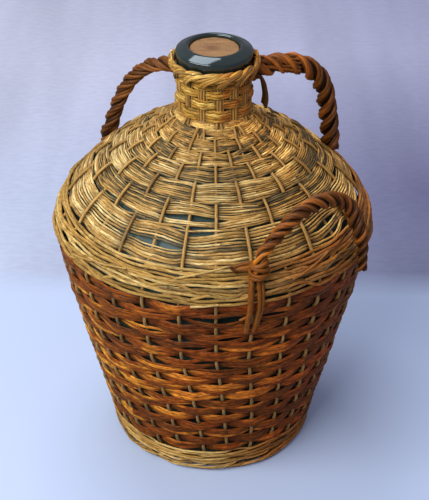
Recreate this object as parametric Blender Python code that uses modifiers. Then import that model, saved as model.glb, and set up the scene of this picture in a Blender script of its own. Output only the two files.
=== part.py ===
"""Wicker demijohn: a glass bottle with a cork, in a casing woven round twenty-eight upright stakes.

The bottle's outer side is the line that the whole casing follows. Every rod lies at a number of rod
thicknesses and gaps outside it: first the passes behind the stakes, then the stakes, then the passes
in front of them. Plus Z is up, the origin is the middle of the underside, and the photographed front
faces minus Y.
"""

import math

import bmesh
import bpy
from mathutils import Vector
from mathutils.geometry import interpolate_bezier

# Clearance between neighbouring pieces
GAP = 0.0003

# Bottle, outside, from the foot up: each height stands on the one below it
FOOT_LINE_RADIUS = 0.0842
SIDE_FLARE = math.radians(14.4)
SIDE_REACH = 0.180
BULGE_RADIUS = 0.1351
BULGE_HEIGHT = 0.2275
BULGE_ROUND = 0.016
SHOULDER_RADIUS = 0.0741
SHOULDER_RISE = 0.0727
SHOULDER_PITCH = math.radians(34)
SHOULDER_REACH = 0.037
NECK_RADIUS = 0.0268
NECK_ROOT_RISE = 0.0384
NECK_ROUND = 0.0133
NECK_LENGTH = 0.0574
HEEL_ROUND = 0.012
GLASS_STEPS = 28
SHOULDER_HEIGHT = BULGE_HEIGHT + SHOULDER_RISE
NECK_ROOT_HEIGHT = SHOULDER_HEIGHT + NECK_ROOT_RISE
BOTTLE_HEIGHT = NECK_ROOT_HEIGHT + NECK_LENGTH

# Bottle, inside
BODY_WALL = 0.0042
BORE_RADIUS = 0.0217
MOUTH_ROUND = 0.0014
PUNT_RISE = 0.014
PUNT_RADIUS = 0.058
FLOOR_WALL = 0.006

# Lip
LIP_HEIGHT = 0.0195
LIP_RADIUS = 0.0329
LIP_RIDGE = 0.0008
LIP_ROUND = 0.0032

# How deep the middle of a quarter-round corner lies inside the square one, for a radius of one
CORNER_DEPTH = 1.0 - math.sqrt(0.5)

# Cork
CORK_LENGTH = 0.036
CORK_RECESS = 0.0026
CORK_TAPER = 0.0019
CORK_CHAMFER = 0.0008

# Willow rods
ROD = 0.0030
NECK_ROD = 0.0020
PACK_CHAMFER = 0.0011

# Layers of the casing, each a number of rod thicknesses and a number of gaps outside the bottle
BEHIND = (0, 1)
STAKE_MIDDLE = (1.5, 2)
IN_FRONT = (2, 3)
OUTSIDE = (3, 3)
CLEAR = (3, 4)

# Stakes, which lean round the casing over its lowest rows
STAKES = 28
STAKE_PHASE = math.radians(1.5)
STAKE_LEAN = math.radians(7.5)
LEANING_ROWS = 12
BUNDLE_SPACING = 0.0023

# Heights and widths of the zones of the casing
FOOT_BORDER_HEIGHT = 0.012
FOOT_BORDER_WIDTH = 0.018
WALE_TOP_HEIGHT = 0.030
BAND_WIDTH = 0.0273
FIRST_ROW_DROP = 0.0072
COLLAR_UNDER_LIP = 0.001
COLLAR_TOP_HEIGHT = BOTTLE_HEIGHT - LIP_HEIGHT - COLLAR_UNDER_LIP

# Counts of the zones
WALE_RIBS = 3
BODY_ROWS = 18
BODY_RIBS = 2
BAND_RIBS = 8
SHOULDER_RIBS = 3
SHOULDER_ROWS = 8
SHOULDER_NARROWING = 0.87
PAIRED_ROW_COUNT = 2
COLLAR_ROWS = 4
COLLAR_NARROWING = 0.85
COLLAR_RIBS = 2

# How far the band stands out past the packs of rods, and the grooves between rods
BAND_PROUD = 0.0006
RIB_DEPTH = 0.0009

# Twisted border round the lip
BORDER_WIDTH = 0.0052
BORDER_HEIGHT = 0.0105

# Base
BASE_STICK = 0.0034
BASE_STICK_ENDS = STAKES // 2
BASE_ROWS = 4
BASE_HUB_RADIUS = 0.0145
BASE_HUB_THICKNESS = 0.0041
BASE_WEAVE_START = 0.028

# Carrying handles from the collar to the band
HANDLE_DROP = 0.009
HANDLE_HEIGHT = COLLAR_TOP_HEIGHT - HANDLE_DROP
RIGHT_HANDLE_AZIMUTH = math.radians(25)
RIGHT_HANDLE_ROPE = 0.0195
RIGHT_HANDLE_FOOT = 0.0212
RIGHT_HANDLE_REACH = 0.085
RIGHT_HANDLE_LIFT = 0.0070
RIGHT_HANDLE_RISE = 0.068
RIGHT_HANDLE_LEAN = 0.13
LEFT_HANDLE_AZIMUTH = math.radians(148)
LEFT_HANDLE_ROPE = 0.0136
LEFT_HANDLE_FOOT = 0.0252
LEFT_HANDLE_REACH = 0.058
LEFT_HANDLE_LIFT = 0.006
LEFT_HANDLE_RISE = 0.040
LEFT_HANDLE_LEAN = 0.25
HANDLE_SINK = 0.006
HANDLE_POINTS = 15

# Tail of the right handle that turns down beside the neck: radius past the collar, height under the handle
TAIL_ROD = 0.0052
TAIL_ROUTE = ((0.0045, -0.004), (0.0105, -0.014), (0.0130, -0.024), (0.0140, -0.036))
TAIL_TURN = math.radians(-10)

# Tipping hoop on the front: azimuth in degrees, height over the band's lower edge, reach past the bulge
HOOP_ROPE = 0.0160
HOOP_ROUTE = (
    (-75.0, 0.008, -0.0015),
    (-74.3, 0.040, -0.0040),
    (-71.3, 0.050, -0.0080),
    (-64.9, 0.0625, -0.0110),
    (-55.8, 0.073, -0.0135),
    (-42.5, 0.0722, -0.0120),
    (-34.8, 0.0574, -0.0055),
    (-34.0, 0.040, 0.0030),
    (-32.6, 0.021, 0.0060),
    (-31.5, -0.005, 0.0062),
)
HOOP_POINTS = 18
WRAP_ROD = 0.0035
WRAP_LENGTH = 0.013
WRAP_START = 0.020
LEG_ROD = 0.0036
LEG_LENGTH = 0.032
LEG_SPACING = 0.0052

ROPE_RESOLUTION = 2
ROUND_STEPS = 28

# Middle plane and top of the base, and the ring that the bottle stands on
BASE_MIDDLE = FOOT_BORDER_HEIGHT / 2 + BASE_STICK / 2
BASE_TOP = BASE_MIDDLE + BASE_STICK / 2 + GAP + ROD
FOOT_RADIUS = FOOT_LINE_RADIUS + STAKE_MIDDLE[0] * ROD + STAKE_MIDDLE[1] * GAP
FOOT_INNER = FOOT_RADIUS - FOOT_BORDER_WIDTH / 2

# Finishes: linear colour and roughness
GLASS = ((0.016, 0.034, 0.042), 0.08)
CORK = ((0.43, 0.19, 0.065), 0.8)
STICK = ((0.30, 0.20, 0.09), 0.6)
PALE = ((0.58, 0.38, 0.13), 0.55)
GREYED = ((0.40, 0.28, 0.12), 0.6)
RED = ((0.35, 0.10, 0.016), 0.5)
STAKE = ((0.27, 0.19, 0.107), 0.6)
ROPE = ((0.25, 0.10, 0.025), 0.55)


def material(name, color, roughness):
    """A Principled material with one colour and roughness."""
    made = bpy.data.materials.new(name)
    made.use_nodes = True
    shader = made.node_tree.nodes["Principled BSDF"]
    shader.inputs["Base Color"].default_value = (*color, 1.0)
    shader.inputs["Roughness"].default_value = roughness
    made.diffuse_color = (*color, 1.0)
    return made


def start_scene():
    """Clears the scene and makes the two collections."""
    for thing in list(bpy.data.objects):
        bpy.data.objects.remove(thing, do_unlink=True)
    parts = bpy.data.collections.new("wicker_demijohn")
    cutters = bpy.data.collections.new("cutters")
    bpy.context.scene.collection.children.link(parts)
    bpy.context.scene.collection.children.link(cutters)
    return parts, cutters


def add_part(name, data, finish):
    """Links a finished sub-part with its own material."""
    made = bpy.data.objects.new(name, data)
    data.materials.clear()
    data.materials.append(material(name, *finish))
    PARTS.objects.link(made)
    made.parent = ROOT
    return made


def add_cutter(name, data):
    """Links a hidden helper that cuts or joins."""
    made = bpy.data.objects.new(name, data)
    made.hide_render = True
    made.display_type = "WIRE"
    CUTTERS.objects.link(made)
    return made


def smooth(data, angle=40):
    """Shades round faces smooth and keeps sharp edges."""
    data.shade_smooth()
    data.set_sharp_from_angle(angle=math.radians(angle))


def profile_mesh(name, points, closed):
    """A profile of radius and height points in the XZ plane."""
    data = bpy.data.meshes.new(name)
    count = len(points)
    edges = [(i, i + 1) for i in range(count - 1)]
    if closed:
        edges.append((count - 1, 0))
    data.from_pydata([(r, 0.0, z) for r, z in points], edges, [])
    return data


def add_screw(thing, steps):
    """Turns a profile about the Z axis."""
    turned = thing.modifiers.new("Turn", "SCREW")
    turned.steps = steps
    turned.render_steps = steps
    turned.use_merge_vertices = True
    turned.merge_threshold = 0.00001
    turned.use_smooth_shade = True


def add_boolean(thing, other, operation):
    """Joins or cuts with another closed mesh."""
    boolean = thing.modifiers.new(operation.title(), "BOOLEAN")
    boolean.operation = operation
    boolean.object = other
    boolean.solver = "EXACT"


def tube_mesh(name, routes, diameter, resolution, radii=None):
    """Round rods along routes, as one mesh whose caps are welded."""
    curve = bpy.data.curves.new(name, "CURVE")
    curve.dimensions = "3D"
    curve.bevel_depth = diameter / 2
    curve.bevel_resolution = resolution
    curve.use_fill_caps = True
    for route in routes:
        spline = curve.splines.new("POLY")
        spline.points.add(len(route) - 1)
        for index, place in enumerate(route):
            spline.points[index].co = (*place, 1.0)
            spline.points[index].radius = radii[index] if radii else 1.0
    helper = bpy.data.objects.new(name, curve)
    bpy.context.scene.collection.objects.link(helper)
    graph = bpy.context.evaluated_depsgraph_get()
    data = bpy.data.meshes.new_from_object(helper.evaluated_get(graph))
    bpy.data.objects.remove(helper, do_unlink=True)
    mesh = bmesh.new()
    mesh.from_mesh(data)
    bmesh.ops.remove_doubles(mesh, verts=mesh.verts, dist=0.00001)
    bmesh.ops.recalc_face_normals(mesh, faces=mesh.faces)
    mesh.to_mesh(data)
    mesh.free()
    data.name = name
    smooth(data)
    return data


def ring_loft(name, sections):
    """A closed ring of like sections, each one a loop of points."""
    mesh = bmesh.new()
    loops = [[mesh.verts.new(place) for place in section] for section in sections]
    count = len(sections[0])
    for here, after in zip(loops, loops[1:] + loops[:1]):
        for i in range(count):
            j = (i + 1) % count
            mesh.faces.new((here[i], here[j], after[j], after[i]))
    bmesh.ops.recalc_face_normals(mesh, faces=mesh.faces)
    data = bpy.data.meshes.new(name)
    mesh.to_mesh(data)
    mesh.free()
    smooth(data, 30)
    return data


def around(place, azimuth):
    """The point of a radius and height pair at an azimuth."""
    radius, height = place
    return Vector((radius * math.cos(azimuth), radius * math.sin(azimuth), height))


def span(start, start_handle, end_handle, end, count):
    """Points of one Bezier span, without its first point."""
    return interpolate_bezier(start, start_handle, end_handle, end, count + 1)[1:]


def casing_line():
    """The bottle's outer side from the floor to the top of the collar, as radius and height."""
    foot = Vector((FOOT_LINE_RADIUS, 0.0))
    flare = Vector((math.sin(SIDE_FLARE), math.cos(SIDE_FLARE)))
    bulge = Vector((BULGE_RADIUS, BULGE_HEIGHT))
    shoulder = Vector((SHOULDER_RADIUS, SHOULDER_HEIGHT))
    slope = Vector((-math.cos(SHOULDER_PITCH), math.sin(SHOULDER_PITCH)))
    neck = Vector((NECK_RADIUS, NECK_ROOT_HEIGHT))
    up = Vector((0.0, 1.0))
    line = [foot]
    line += span(foot, foot + SIDE_REACH * flare, bulge - GAP * up, bulge, 60)
    line += span(bulge, bulge + BULGE_ROUND * up, shoulder - SHOULDER_REACH * slope, shoulder, 60)
    line += span(shoulder, shoulder + GAP * slope, neck - NECK_ROUND * up, neck, 30)
    line.append(Vector((NECK_RADIUS, COLLAR_TOP_HEIGHT)))
    return line


def running_lengths(line):
    """The length along a line up to each of its points."""
    lengths = [0.0]
    for here, after in zip(line, line[1:]):
        lengths.append(lengths[-1] + (after - here).length)
    return lengths


def interpolated(value, given, wanted):
    """Linear interpolation in a rising list."""
    for i in range(1, len(given)):
        if value <= given[i] or i == len(given) - 1:
            share = (value - given[i - 1]) / (given[i] - given[i - 1])
            return wanted[i - 1] + share * (wanted[i] - wanted[i - 1])


def split(start, end, count, narrowing=1.0):
    """Course boundaries from start to end, each course narrower than the last by a ratio."""
    widths = [narrowing**i for i in range(count)]
    scale = (end - start) / sum(widths)
    edges = [start]
    for width in widths:
        edges.append(edges[-1] + scale * width)
    return edges


LINE = casing_line()
LENGTHS = running_lengths(LINE)
LINE_HEIGHTS = [place.y for place in LINE]


def at_height(height):
    """The length along the casing line at a height."""
    return interpolated(height, LINE_HEIGHTS, LENGTHS)


# Zones of the casing, as lengths along the casing line. The foot's wale and stakes lean out with the side,
# so their lowest edge is lower than the point of the line that they start from.
WALE_DROP = (3 * ROD + 3 * GAP) * math.sin(SIDE_FLARE)
STAKE_DROP = (2 * ROD + 2 * GAP) * math.sin(SIDE_FLARE)
WALE_LOW = at_height(FOOT_BORDER_HEIGHT + GAP + WALE_DROP)
STAKE_LOW = at_height(FOOT_BORDER_HEIGHT + GAP + STAKE_DROP)
BODY_EDGES = split(at_height(WALE_TOP_HEIGHT), at_height(BULGE_HEIGHT), BODY_ROWS)
BAND_LOW = BODY_EDGES[-1]
BAND_TOP = BAND_LOW + BAND_WIDTH
SHOULDER_START = BAND_TOP + FIRST_ROW_DROP
SHOULDER_EDGES = split(SHOULDER_START, at_height(NECK_ROOT_HEIGHT), SHOULDER_ROWS, SHOULDER_NARROWING)
SHOULDER_EDGES[0] = BAND_TOP
COLLAR_EDGES = split(SHOULDER_EDGES[-1], LENGTHS[-1], COLLAR_ROWS, COLLAR_NARROWING)

# The lengths at which the casing bends. All the layers bend there together, so they stay parallel.
KNOTS = [
    0.0,
    WALE_LOW,
    BODY_EDGES[0],
    BODY_EDGES[BODY_ROWS // 2],
    BAND_LOW,
    BAND_LOW + BAND_WIDTH / 2,
    BAND_TOP,
    (SHOULDER_EDGES[0] + SHOULDER_EDGES[1]) / 2,
    *SHOULDER_EDGES[1:4],
    *SHOULDER_EDGES[5:],
    COLLAR_EDGES[-1],
]


def mitred(places):
    """For each point of a line, the step outward that keeps an offset line parallel."""
    normals = []
    for here, after in zip(places, places[1:]):
        along = (after - here).normalized()
        normals.append(Vector((along.y, -along.x)))
    steps = [normals[0]]
    for before, after in zip(normals, normals[1:]):
        steps.append((before + after) / (1.0 + before.dot(after)))
    steps.append(normals[-1])
    return steps


KNOT_PLACES = [interpolated(length, LENGTHS, LINE) for length in KNOTS]
KNOT_STEPS = mitred(KNOT_PLACES)


def rod_at(length):
    """The thickness of a rod, which thins from the band's top edge to the mouth."""
    return interpolated(max(length, BAND_TOP), [BAND_TOP, LENGTHS[-1]], [ROD, NECK_ROD])


KNOT_RODS = [rod_at(length) for length in KNOTS]


def layer(length, rods, gaps, extra=0.0):
    """The point that lies a number of rod thicknesses and gaps outside the bottle."""
    place = interpolated(length, KNOTS, KNOT_PLACES)
    step = interpolated(length, KNOTS, KNOT_STEPS)
    return place + step * (rods * interpolated(length, KNOTS, KNOT_RODS) + gaps * GAP + extra)


def length_where(height, rods, gaps, extra):
    """The length at which an offset of the casing line reaches a height."""
    heights = [layer(length, rods, gaps, extra).y for length in KNOTS]
    return interpolated(height, heights, KNOTS)


def stake_azimuth(index, length):
    """Where a stake stands: drawn together in pairs round the neck, and leaning towards its foot."""
    spacing = 2 * math.pi / STAKES
    leaning = [BODY_EDGES[0], BODY_EDGES[LEANING_ROWS]]
    lean = interpolated(min(length, leaning[1]), leaning, [STAKE_LEAN, 0.0])
    pair = (index + 1) // 2 * 2 * spacing - spacing / 2
    side = -1 if index % 2 else 1
    neck_half = BUNDLE_SPACING / 2 / layer(COLLAR_EDGES[0], *STAKE_MIDDLE).x
    start = SHOULDER_EDGES[-1 - PAIRED_ROW_COUNT]
    drawn = min(max((length - start) / (COLLAR_EDGES[0] - start), 0.0), 1.0)
    half = spacing / 2 + drawn * (neck_half - spacing / 2)
    return STAKE_PHASE + pair + side * half + lean


def pack_section(low, high, index, in_front, ribs):
    """The cross-section of a pack of rods at one stake, in front of it or behind it, with ribs outside."""
    rods, gaps = IN_FRONT if in_front else BEHIND
    low += GAP / 2
    high -= GAP / 2
    bends = [knot for knot in KNOTS if low < knot < high]
    section = []
    for length in (low, *bends, high):
        section.append(around(layer(length, rods, gaps), stake_azimuth(index, length)))
    outer_high = high - PACK_CHAMFER
    outer_width = high - low - 2 * PACK_CHAMFER
    for i in range(2 * ribs - 1):
        length = outer_high - outer_width * i / (2 * ribs - 2)
        depth = RIB_DEPTH if i % 2 else 0.0
        section.append(around(layer(length, rods + 1, gaps, -depth), stake_azimuth(index, length)))
    return section


def woven_row(name, low, high, course, per_side, ribs, finish):
    """A closed course that passes in front of and behind the stakes, or pairs of stakes, in turn."""
    sections = []
    for index in range(STAKES):
        stand = index if per_side == 1 else (index + 1) // 2
        in_front = (stand + course) % 2 == 1
        sections.append(pack_section(low, high, index, in_front, ribs))
    return add_part(name, ring_loft(name, sections), finish)


def wale_profile(low, high, ribs, inside, proud):
    """A closed profile of a wale: its rods as ribs from the top edge down, and a plain line inside."""
    outer = []
    for i in range(2 * ribs + 1):
        length = high - (high - low) * i / (2 * ribs)
        depth = proud if i % 2 else proud - RIB_DEPTH
        outer.append(layer(length, *OUTSIDE, depth))
    bends = [knot for knot in KNOTS if low < knot < high]
    inner = [layer(length, *inside) for length in (low, *bends, high)]
    return outer + inner


def lip_profile():
    """The outer side of the lip from the mouth down to the neck."""
    top = BOTTLE_HEIGHT
    middle = top - LIP_HEIGHT / 2
    low = top - LIP_HEIGHT
    crown = LIP_RADIUS - LIP_RIDGE
    return [
        (BORE_RADIUS, top - MOUTH_ROUND),
        (BORE_RADIUS + MOUTH_ROUND * CORNER_DEPTH, top - MOUTH_ROUND * CORNER_DEPTH),
        (BORE_RADIUS + MOUTH_ROUND, top),
        (crown - LIP_ROUND, top),
        (crown - LIP_ROUND * CORNER_DEPTH, top - LIP_ROUND * CORNER_DEPTH),
        (crown, top - LIP_ROUND),
        (LIP_RADIUS, middle),
        (crown, low + LIP_ROUND),
        (crown - LIP_ROUND * CORNER_DEPTH, low + LIP_ROUND * CORNER_DEPTH),
        (NECK_RADIUS, low),
    ]


def bottle_profile():
    """The whole wall of the bottle, from its inner floor over the lip to its underside."""
    floor = BASE_TOP + GAP
    side = []
    walls = []
    for length, place, step in zip(KNOTS, KNOT_PLACES, KNOT_STEPS):
        if length > BODY_EDGES[0] and place.y <= NECK_ROOT_HEIGHT + GAP:
            side.append(place)
            walls.append(place - BODY_WALL * step)
    heel_height = floor + HEEL_ROUND
    heel_side = interpolated(heel_height, [place.y for place in KNOT_PLACES], KNOT_PLACES)
    heel_center = heel_side.x - HEEL_ROUND
    inside = [(0.0, floor + PUNT_RISE + FLOOR_WALL), (PUNT_RADIUS, floor + FLOOR_WALL)]
    inside.append((heel_side.x - BODY_WALL - HEEL_ROUND / 3, floor + FLOOR_WALL))
    inside.append((heel_side.x - BODY_WALL, heel_height))
    inside += [tuple(wall) for wall in walls[1::2] if wall.x > BORE_RADIUS]
    inside.append((BORE_RADIUS, inside[-1][1] + HEEL_ROUND))
    outside = [tuple(place) for place in reversed(side)]
    heel = []
    for degrees in (0, 30, 60, 90):
        turn = math.radians(degrees)
        heel.append((heel_center + HEEL_ROUND * math.cos(turn), heel_height - HEEL_ROUND * math.sin(turn)))
    punt = [(PUNT_RADIUS, floor), (0.0, floor + PUNT_RISE)]
    return inside + lip_profile() + outside + heel + punt


def bottle():
    """The glass bottle, one hollow wall with an open bore."""
    made = add_part("glass_bottle", profile_mesh("glass_bottle", bottle_profile(), False), GLASS)
    add_screw(made, GLASS_STEPS)


def cork():
    """The tapered cork, seated in the bore."""
    top = BORE_RADIUS - GAP
    bpy.ops.mesh.primitive_cone_add(
        vertices=GLASS_STEPS, radius1=top - CORK_TAPER, radius2=top, depth=CORK_LENGTH
    )
    made = bpy.context.active_object
    made.name = "cork_bung"
    for collection in list(made.users_collection):
        collection.objects.unlink(made)
    PARTS.objects.link(made)
    made.data.materials.append(material("cork_bung", *CORK))
    made.location = (0.0, 0.0, BOTTLE_HEIGHT - CORK_RECESS - CORK_LENGTH / 2)
    made.parent = ROOT
    edge = made.modifiers.new("Edge", "BEVEL")
    edge.width = CORK_CHAMFER
    edge.segments = 1
    edge.limit_method = "ANGLE"
    edge.angle_limit = math.radians(60)
    smooth(made.data)


def base_sticks():
    """The crossed sticks of the base: a hub where they pass through each other, and their ends."""
    start = BASE_HUB_RADIUS - BASE_STICK / 2
    end = FOOT_INNER - GAP
    routes = []
    for index in range(BASE_STICK_ENDS):
        azimuth = STAKE_PHASE + 2 * math.pi * index / BASE_STICK_ENDS
        routes.append([around((start, BASE_MIDDLE), azimuth), around((end, BASE_MIDDLE), azimuth)])
    ends = add_cutter("base_stick_ends", tube_mesh("base_stick_ends", routes, BASE_STICK, 0))
    half = BASE_HUB_THICKNESS / 2
    hub = [
        (0.0, BASE_MIDDLE + half),
        (BASE_HUB_RADIUS, BASE_MIDDLE + half),
        (BASE_HUB_RADIUS, BASE_MIDDLE - half),
        (0.0, BASE_MIDDLE - half),
    ]
    made = add_part("base_sticks", profile_mesh("base_sticks", hub, False), STICK)
    made.rotation_euler.z = STAKE_PHASE + math.pi / BASE_STICK_ENDS
    add_screw(made, BASE_STICK_ENDS)
    add_boolean(made, ends, "UNION")


def base_row(index, low, high):
    """One course of the base, over and under the sticks in turn."""
    offset = BASE_STICK / 2 + GAP
    low += GAP / 2
    high -= GAP / 2
    sections = []
    for end in range(BASE_STICK_ENDS):
        azimuth = STAKE_PHASE + 2 * math.pi * end / BASE_STICK_ENDS
        side = 1 if (end + index) % 2 else -1
        near = BASE_MIDDLE + side * offset
        far = BASE_MIDDLE + side * (offset + ROD)
        corners = [(low, near), (high, near), (high - PACK_CHAMFER, far), (low + PACK_CHAMFER, far)]
        if side < 0:
            corners = [(low, far), (high, far), (high - PACK_CHAMFER, near), (low + PACK_CHAMFER, near)]
        sections.append([around(corner, azimuth) for corner in corners])
    name = f"base_row_{index + 1:02d}"
    add_part(name, ring_loft(name, sections), PALE)


def base_rows():
    """The courses of the base, from the hub out to the foot."""
    edges = split(BASE_WEAVE_START, FOOT_INNER - GAP / 2, BASE_ROWS)
    for index, (low, high) in enumerate(zip(edges, edges[1:])):
        base_row(index, low, high)


def border_profile(radius, height, width, depth):
    """A six-sided section of a border, flat above and below."""
    hexagon = [(1, 0), (0.5, -1), (-0.5, -1), (-1, 0), (-0.5, 1), (0.5, 1)]
    return [(radius + x * width / 2, height + z * depth / 2) for x, z in hexagon]


def foot_border():
    """The rolled border that the whole bottle stands on, flat underneath."""
    profile = border_profile(FOOT_RADIUS, FOOT_BORDER_HEIGHT / 2, FOOT_BORDER_WIDTH, FOOT_BORDER_HEIGHT)
    made = add_part("foot_border", profile_mesh("foot_border", profile, True), PALE)
    made.rotation_euler.z = STAKE_PHASE
    add_screw(made, ROUND_STEPS)


def stake_frame():
    """The twenty-eight stakes, joined by the wale that is worked round their feet."""
    knots = [knot for knot in KNOTS if not BAND_LOW < knot < BAND_TOP]
    leaning = [BODY_EDGES[LEANING_ROWS // 3], BODY_EDGES[LEANING_ROWS]]
    lengths = [STAKE_LOW] + sorted([knot for knot in knots if knot >= BODY_EDGES[0]] + leaning)
    routes = []
    for index in range(STAKES):
        route = [around(layer(length, *STAKE_MIDDLE), stake_azimuth(index, length)) for length in lengths]
        routes.append(route)
    radii = [rod_at(length) / ROD for length in lengths]
    stakes = add_cutter("stakes", tube_mesh("stakes", routes, ROD, 0, radii))
    profile = wale_profile(WALE_LOW, BODY_EDGES[0] - GAP / 2, WALE_RIBS, STAKE_MIDDLE, 0.0)
    made = add_part("stake_frame", profile_mesh("stake_frame", profile, True), STAKE)
    made.rotation_euler.z = STAKE_PHASE
    add_screw(made, ROUND_STEPS)
    add_boolean(made, stakes, "UNION")


def pale_band():
    """The wale of pale rods round the bulge, outside the stakes."""
    profile = wale_profile(BAND_LOW + GAP / 2, BAND_TOP - GAP / 2, BAND_RIBS, IN_FRONT, BAND_PROUD)
    made = add_part("pale_band", profile_mesh("pale_band", profile, True), PALE)
    made.rotation_euler.z = STAKE_PHASE
    add_screw(made, ROUND_STEPS)


def woven_rows():
    """All the courses of the body, the shoulder and the collar."""
    for index, (low, high) in enumerate(zip(BODY_EDGES, BODY_EDGES[1:])):
        woven_row(f"body_row_{index + 1:02d}", low, high, index, 1, BODY_RIBS, RED)
    for index, (low, high) in enumerate(zip(SHOULDER_EDGES, SHOULDER_EDGES[1:])):
        per_side = 1 if index < SHOULDER_ROWS - PAIRED_ROW_COUNT else 2
        woven_row(f"shoulder_row_{index + 1:02d}", low, high, index, per_side, SHOULDER_RIBS, GREYED)
    for index, (low, high) in enumerate(zip(COLLAR_EDGES, COLLAR_EDGES[1:])):
        woven_row(f"collar_row_{index + 1:02d}", low, high, index, 2, COLLAR_RIBS, PALE)


def collar_border():
    """The twisted border that ends the collar, round the lip."""
    radius = LIP_RADIUS + GAP + BORDER_WIDTH / 2
    height = COLLAR_TOP_HEIGHT + GAP + BORDER_HEIGHT / 2
    profile = border_profile(radius, height, BORDER_WIDTH, BORDER_HEIGHT)
    made = add_part("collar_border", profile_mesh("collar_border", profile, True), PALE)
    made.rotation_euler.z = STAKE_PHASE
    add_screw(made, ROUND_STEPS)


def casing_envelope():
    """The whole casing with its clearance, which cuts the feet of the handles to fit it."""
    grow = 1.0 / math.cos(math.pi / (2 * ROUND_STEPS))
    lengths = [knot for knot in KNOTS if knot <= BAND_LOW]
    outer = [layer(length, *CLEAR) for length in lengths]
    for length in (BAND_LOW - GAP, BAND_LOW + BAND_WIDTH / 2, BAND_TOP + GAP):
        outer.append(layer(length, *CLEAR, BAND_PROUD))
    outer += [layer(length, *CLEAR) for length in KNOTS if length > BAND_TOP + GAP]
    border_side = LIP_RADIUS + BORDER_WIDTH + 2 * GAP
    outer.append(Vector((border_side, COLLAR_TOP_HEIGHT)))
    outer.append(Vector((border_side, COLLAR_TOP_HEIGHT + BORDER_HEIGHT + 2 * GAP)))
    places = [(0.0, outer[-1].y)] + [(place.x * grow, place.y) for place in reversed(outer)]
    places.append((0.0, outer[0].y))
    made = add_cutter("casing_envelope", profile_mesh("casing_envelope", places, False))
    add_screw(made, 2 * ROUND_STEPS)
    return made


def neck_handle(name, azimuth, rope, foot_length, reach, lift, rise, lean, envelope):
    """A carrying handle of twisted rods, bowed from the collar down to the shoulder."""
    collar = layer(at_height(HANDLE_HEIGHT), *CLEAR)
    foot = layer(BAND_TOP + foot_length, *CLEAR)
    start = Vector((collar.x - HANDLE_SINK, HANDLE_HEIGHT))
    end = foot + Vector((HANDLE_SINK * math.sin(SIDE_FLARE), -HANDLE_SINK))
    top_handle = start + Vector((reach, lift))
    foot_handle = end + rise * Vector((-lean, 1.0))
    bow = interpolate_bezier(start, top_handle, foot_handle, end, HANDLE_POINTS)
    route = [around(place, azimuth) for place in bow]
    made = add_part(name, tube_mesh(name, [route], rope, ROPE_RESOLUTION), ROPE)
    add_boolean(made, envelope, "DIFFERENCE")
    return route


def right_handle_tail(handle_route, envelope):
    """The end of the right handle's rods, which turns down beside the neck to the shoulder."""
    collar = layer(at_height(HANDLE_HEIGHT), *CLEAR).x
    azimuth = RIGHT_HANDLE_AZIMUTH + TAIL_TURN
    route = [around((collar + reach, HANDLE_HEIGHT + drop), azimuth) for reach, drop in TAIL_ROUTE]
    tail = tube_mesh("right_handle_tail", [route], TAIL_ROD, 1)
    tail = add_part("right_handle_tail", tail, ROPE)
    rope = tube_mesh("handle_clearance", [handle_route], RIGHT_HANDLE_ROPE + 2 * GAP, ROPE_RESOLUTION)
    add_boolean(tail, add_cutter("handle_clearance", rope), "DIFFERENCE")
    add_boolean(tail, envelope, "DIFFERENCE")


def hoop_route():
    """The tipping hoop's route, as a smooth curve through its named points."""
    bulge = layer(BAND_LOW, *OUTSIDE).x
    base = interpolated(BAND_LOW, KNOTS, KNOT_PLACES).y
    given = [
        around((bulge + reach, base + height), math.radians(azimuth)) for azimuth, height, reach in HOOP_ROUTE
    ]
    ends = [2 * given[0] - given[1]] + given + [2 * given[-1] - given[-2]]
    route = [given[0]]
    per_span = max(2, round(HOOP_POINTS / (len(given) - 1)))
    for before, here, after, beyond in zip(ends, ends[1:], ends[2:], ends[3:]):
        start_handle = here + (after - before) / 6
        end_handle = after - (beyond - here) / 6
        route += interpolate_bezier(here, start_handle, end_handle, after, per_span + 1)[1:]
    return route


def tipping_handle(envelope):
    """The hoop that tips the bottle, with the wrap round its left foot and the rods that run down from it."""
    route = hoop_route()
    made = add_part("tipping_handle", tube_mesh("tipping_handle", [route], HOOP_ROPE, ROPE_RESOLUTION), ROPE)
    add_boolean(made, envelope, "DIFFERENCE")
    clearance = tube_mesh("hoop_clearance", [route[:8]], HOOP_ROPE + 2 * GAP, ROPE_RESOLUTION)
    clearance = add_cutter("hoop_clearance", clearance)
    foot = Vector(route[0])
    along = (Vector(route[1]) - foot).normalized()
    low = foot + WRAP_START * along
    outer = HOOP_ROPE + 2 * GAP + 2 * WRAP_ROD
    wrap = tube_mesh("tipping_handle_wrap", [[low, low + WRAP_LENGTH * along]], outer, ROPE_RESOLUTION)
    wrap = add_part("tipping_handle_wrap", wrap, ROPE)
    add_boolean(wrap, clearance, "DIFFERENCE")
    add_boolean(wrap, envelope, "DIFFERENCE")
    tipping_handle_legs(foot)


def tipping_handle_legs(foot):
    """Two rods that run down over the casing from the hoop's left foot."""
    azimuth = math.atan2(foot.y, foot.x)
    stand_off = BAND_PROUD + GAP + LEG_ROD / 2
    top = length_where(foot.z - 2 * GAP, *CLEAR, stand_off)
    for index, side in enumerate((-1, 1)):
        route = []
        for share in (0.0, 0.25, 0.5, 0.75, 1.0):
            place = layer(top - share * LEG_LENGTH, *CLEAR, stand_off)
            turn = side * LEG_SPACING / 2 / place.x
            route.append(around(place, azimuth + turn))
        name = f"tipping_handle_leg_{index + 1}"
        add_part(name, tube_mesh(name, [route], LEG_ROD, 1), ROPE)


PARTS, CUTTERS = start_scene()
ROOT = bpy.data.objects.new("wicker_demijohn_root", None)
PARTS.objects.link(ROOT)

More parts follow.
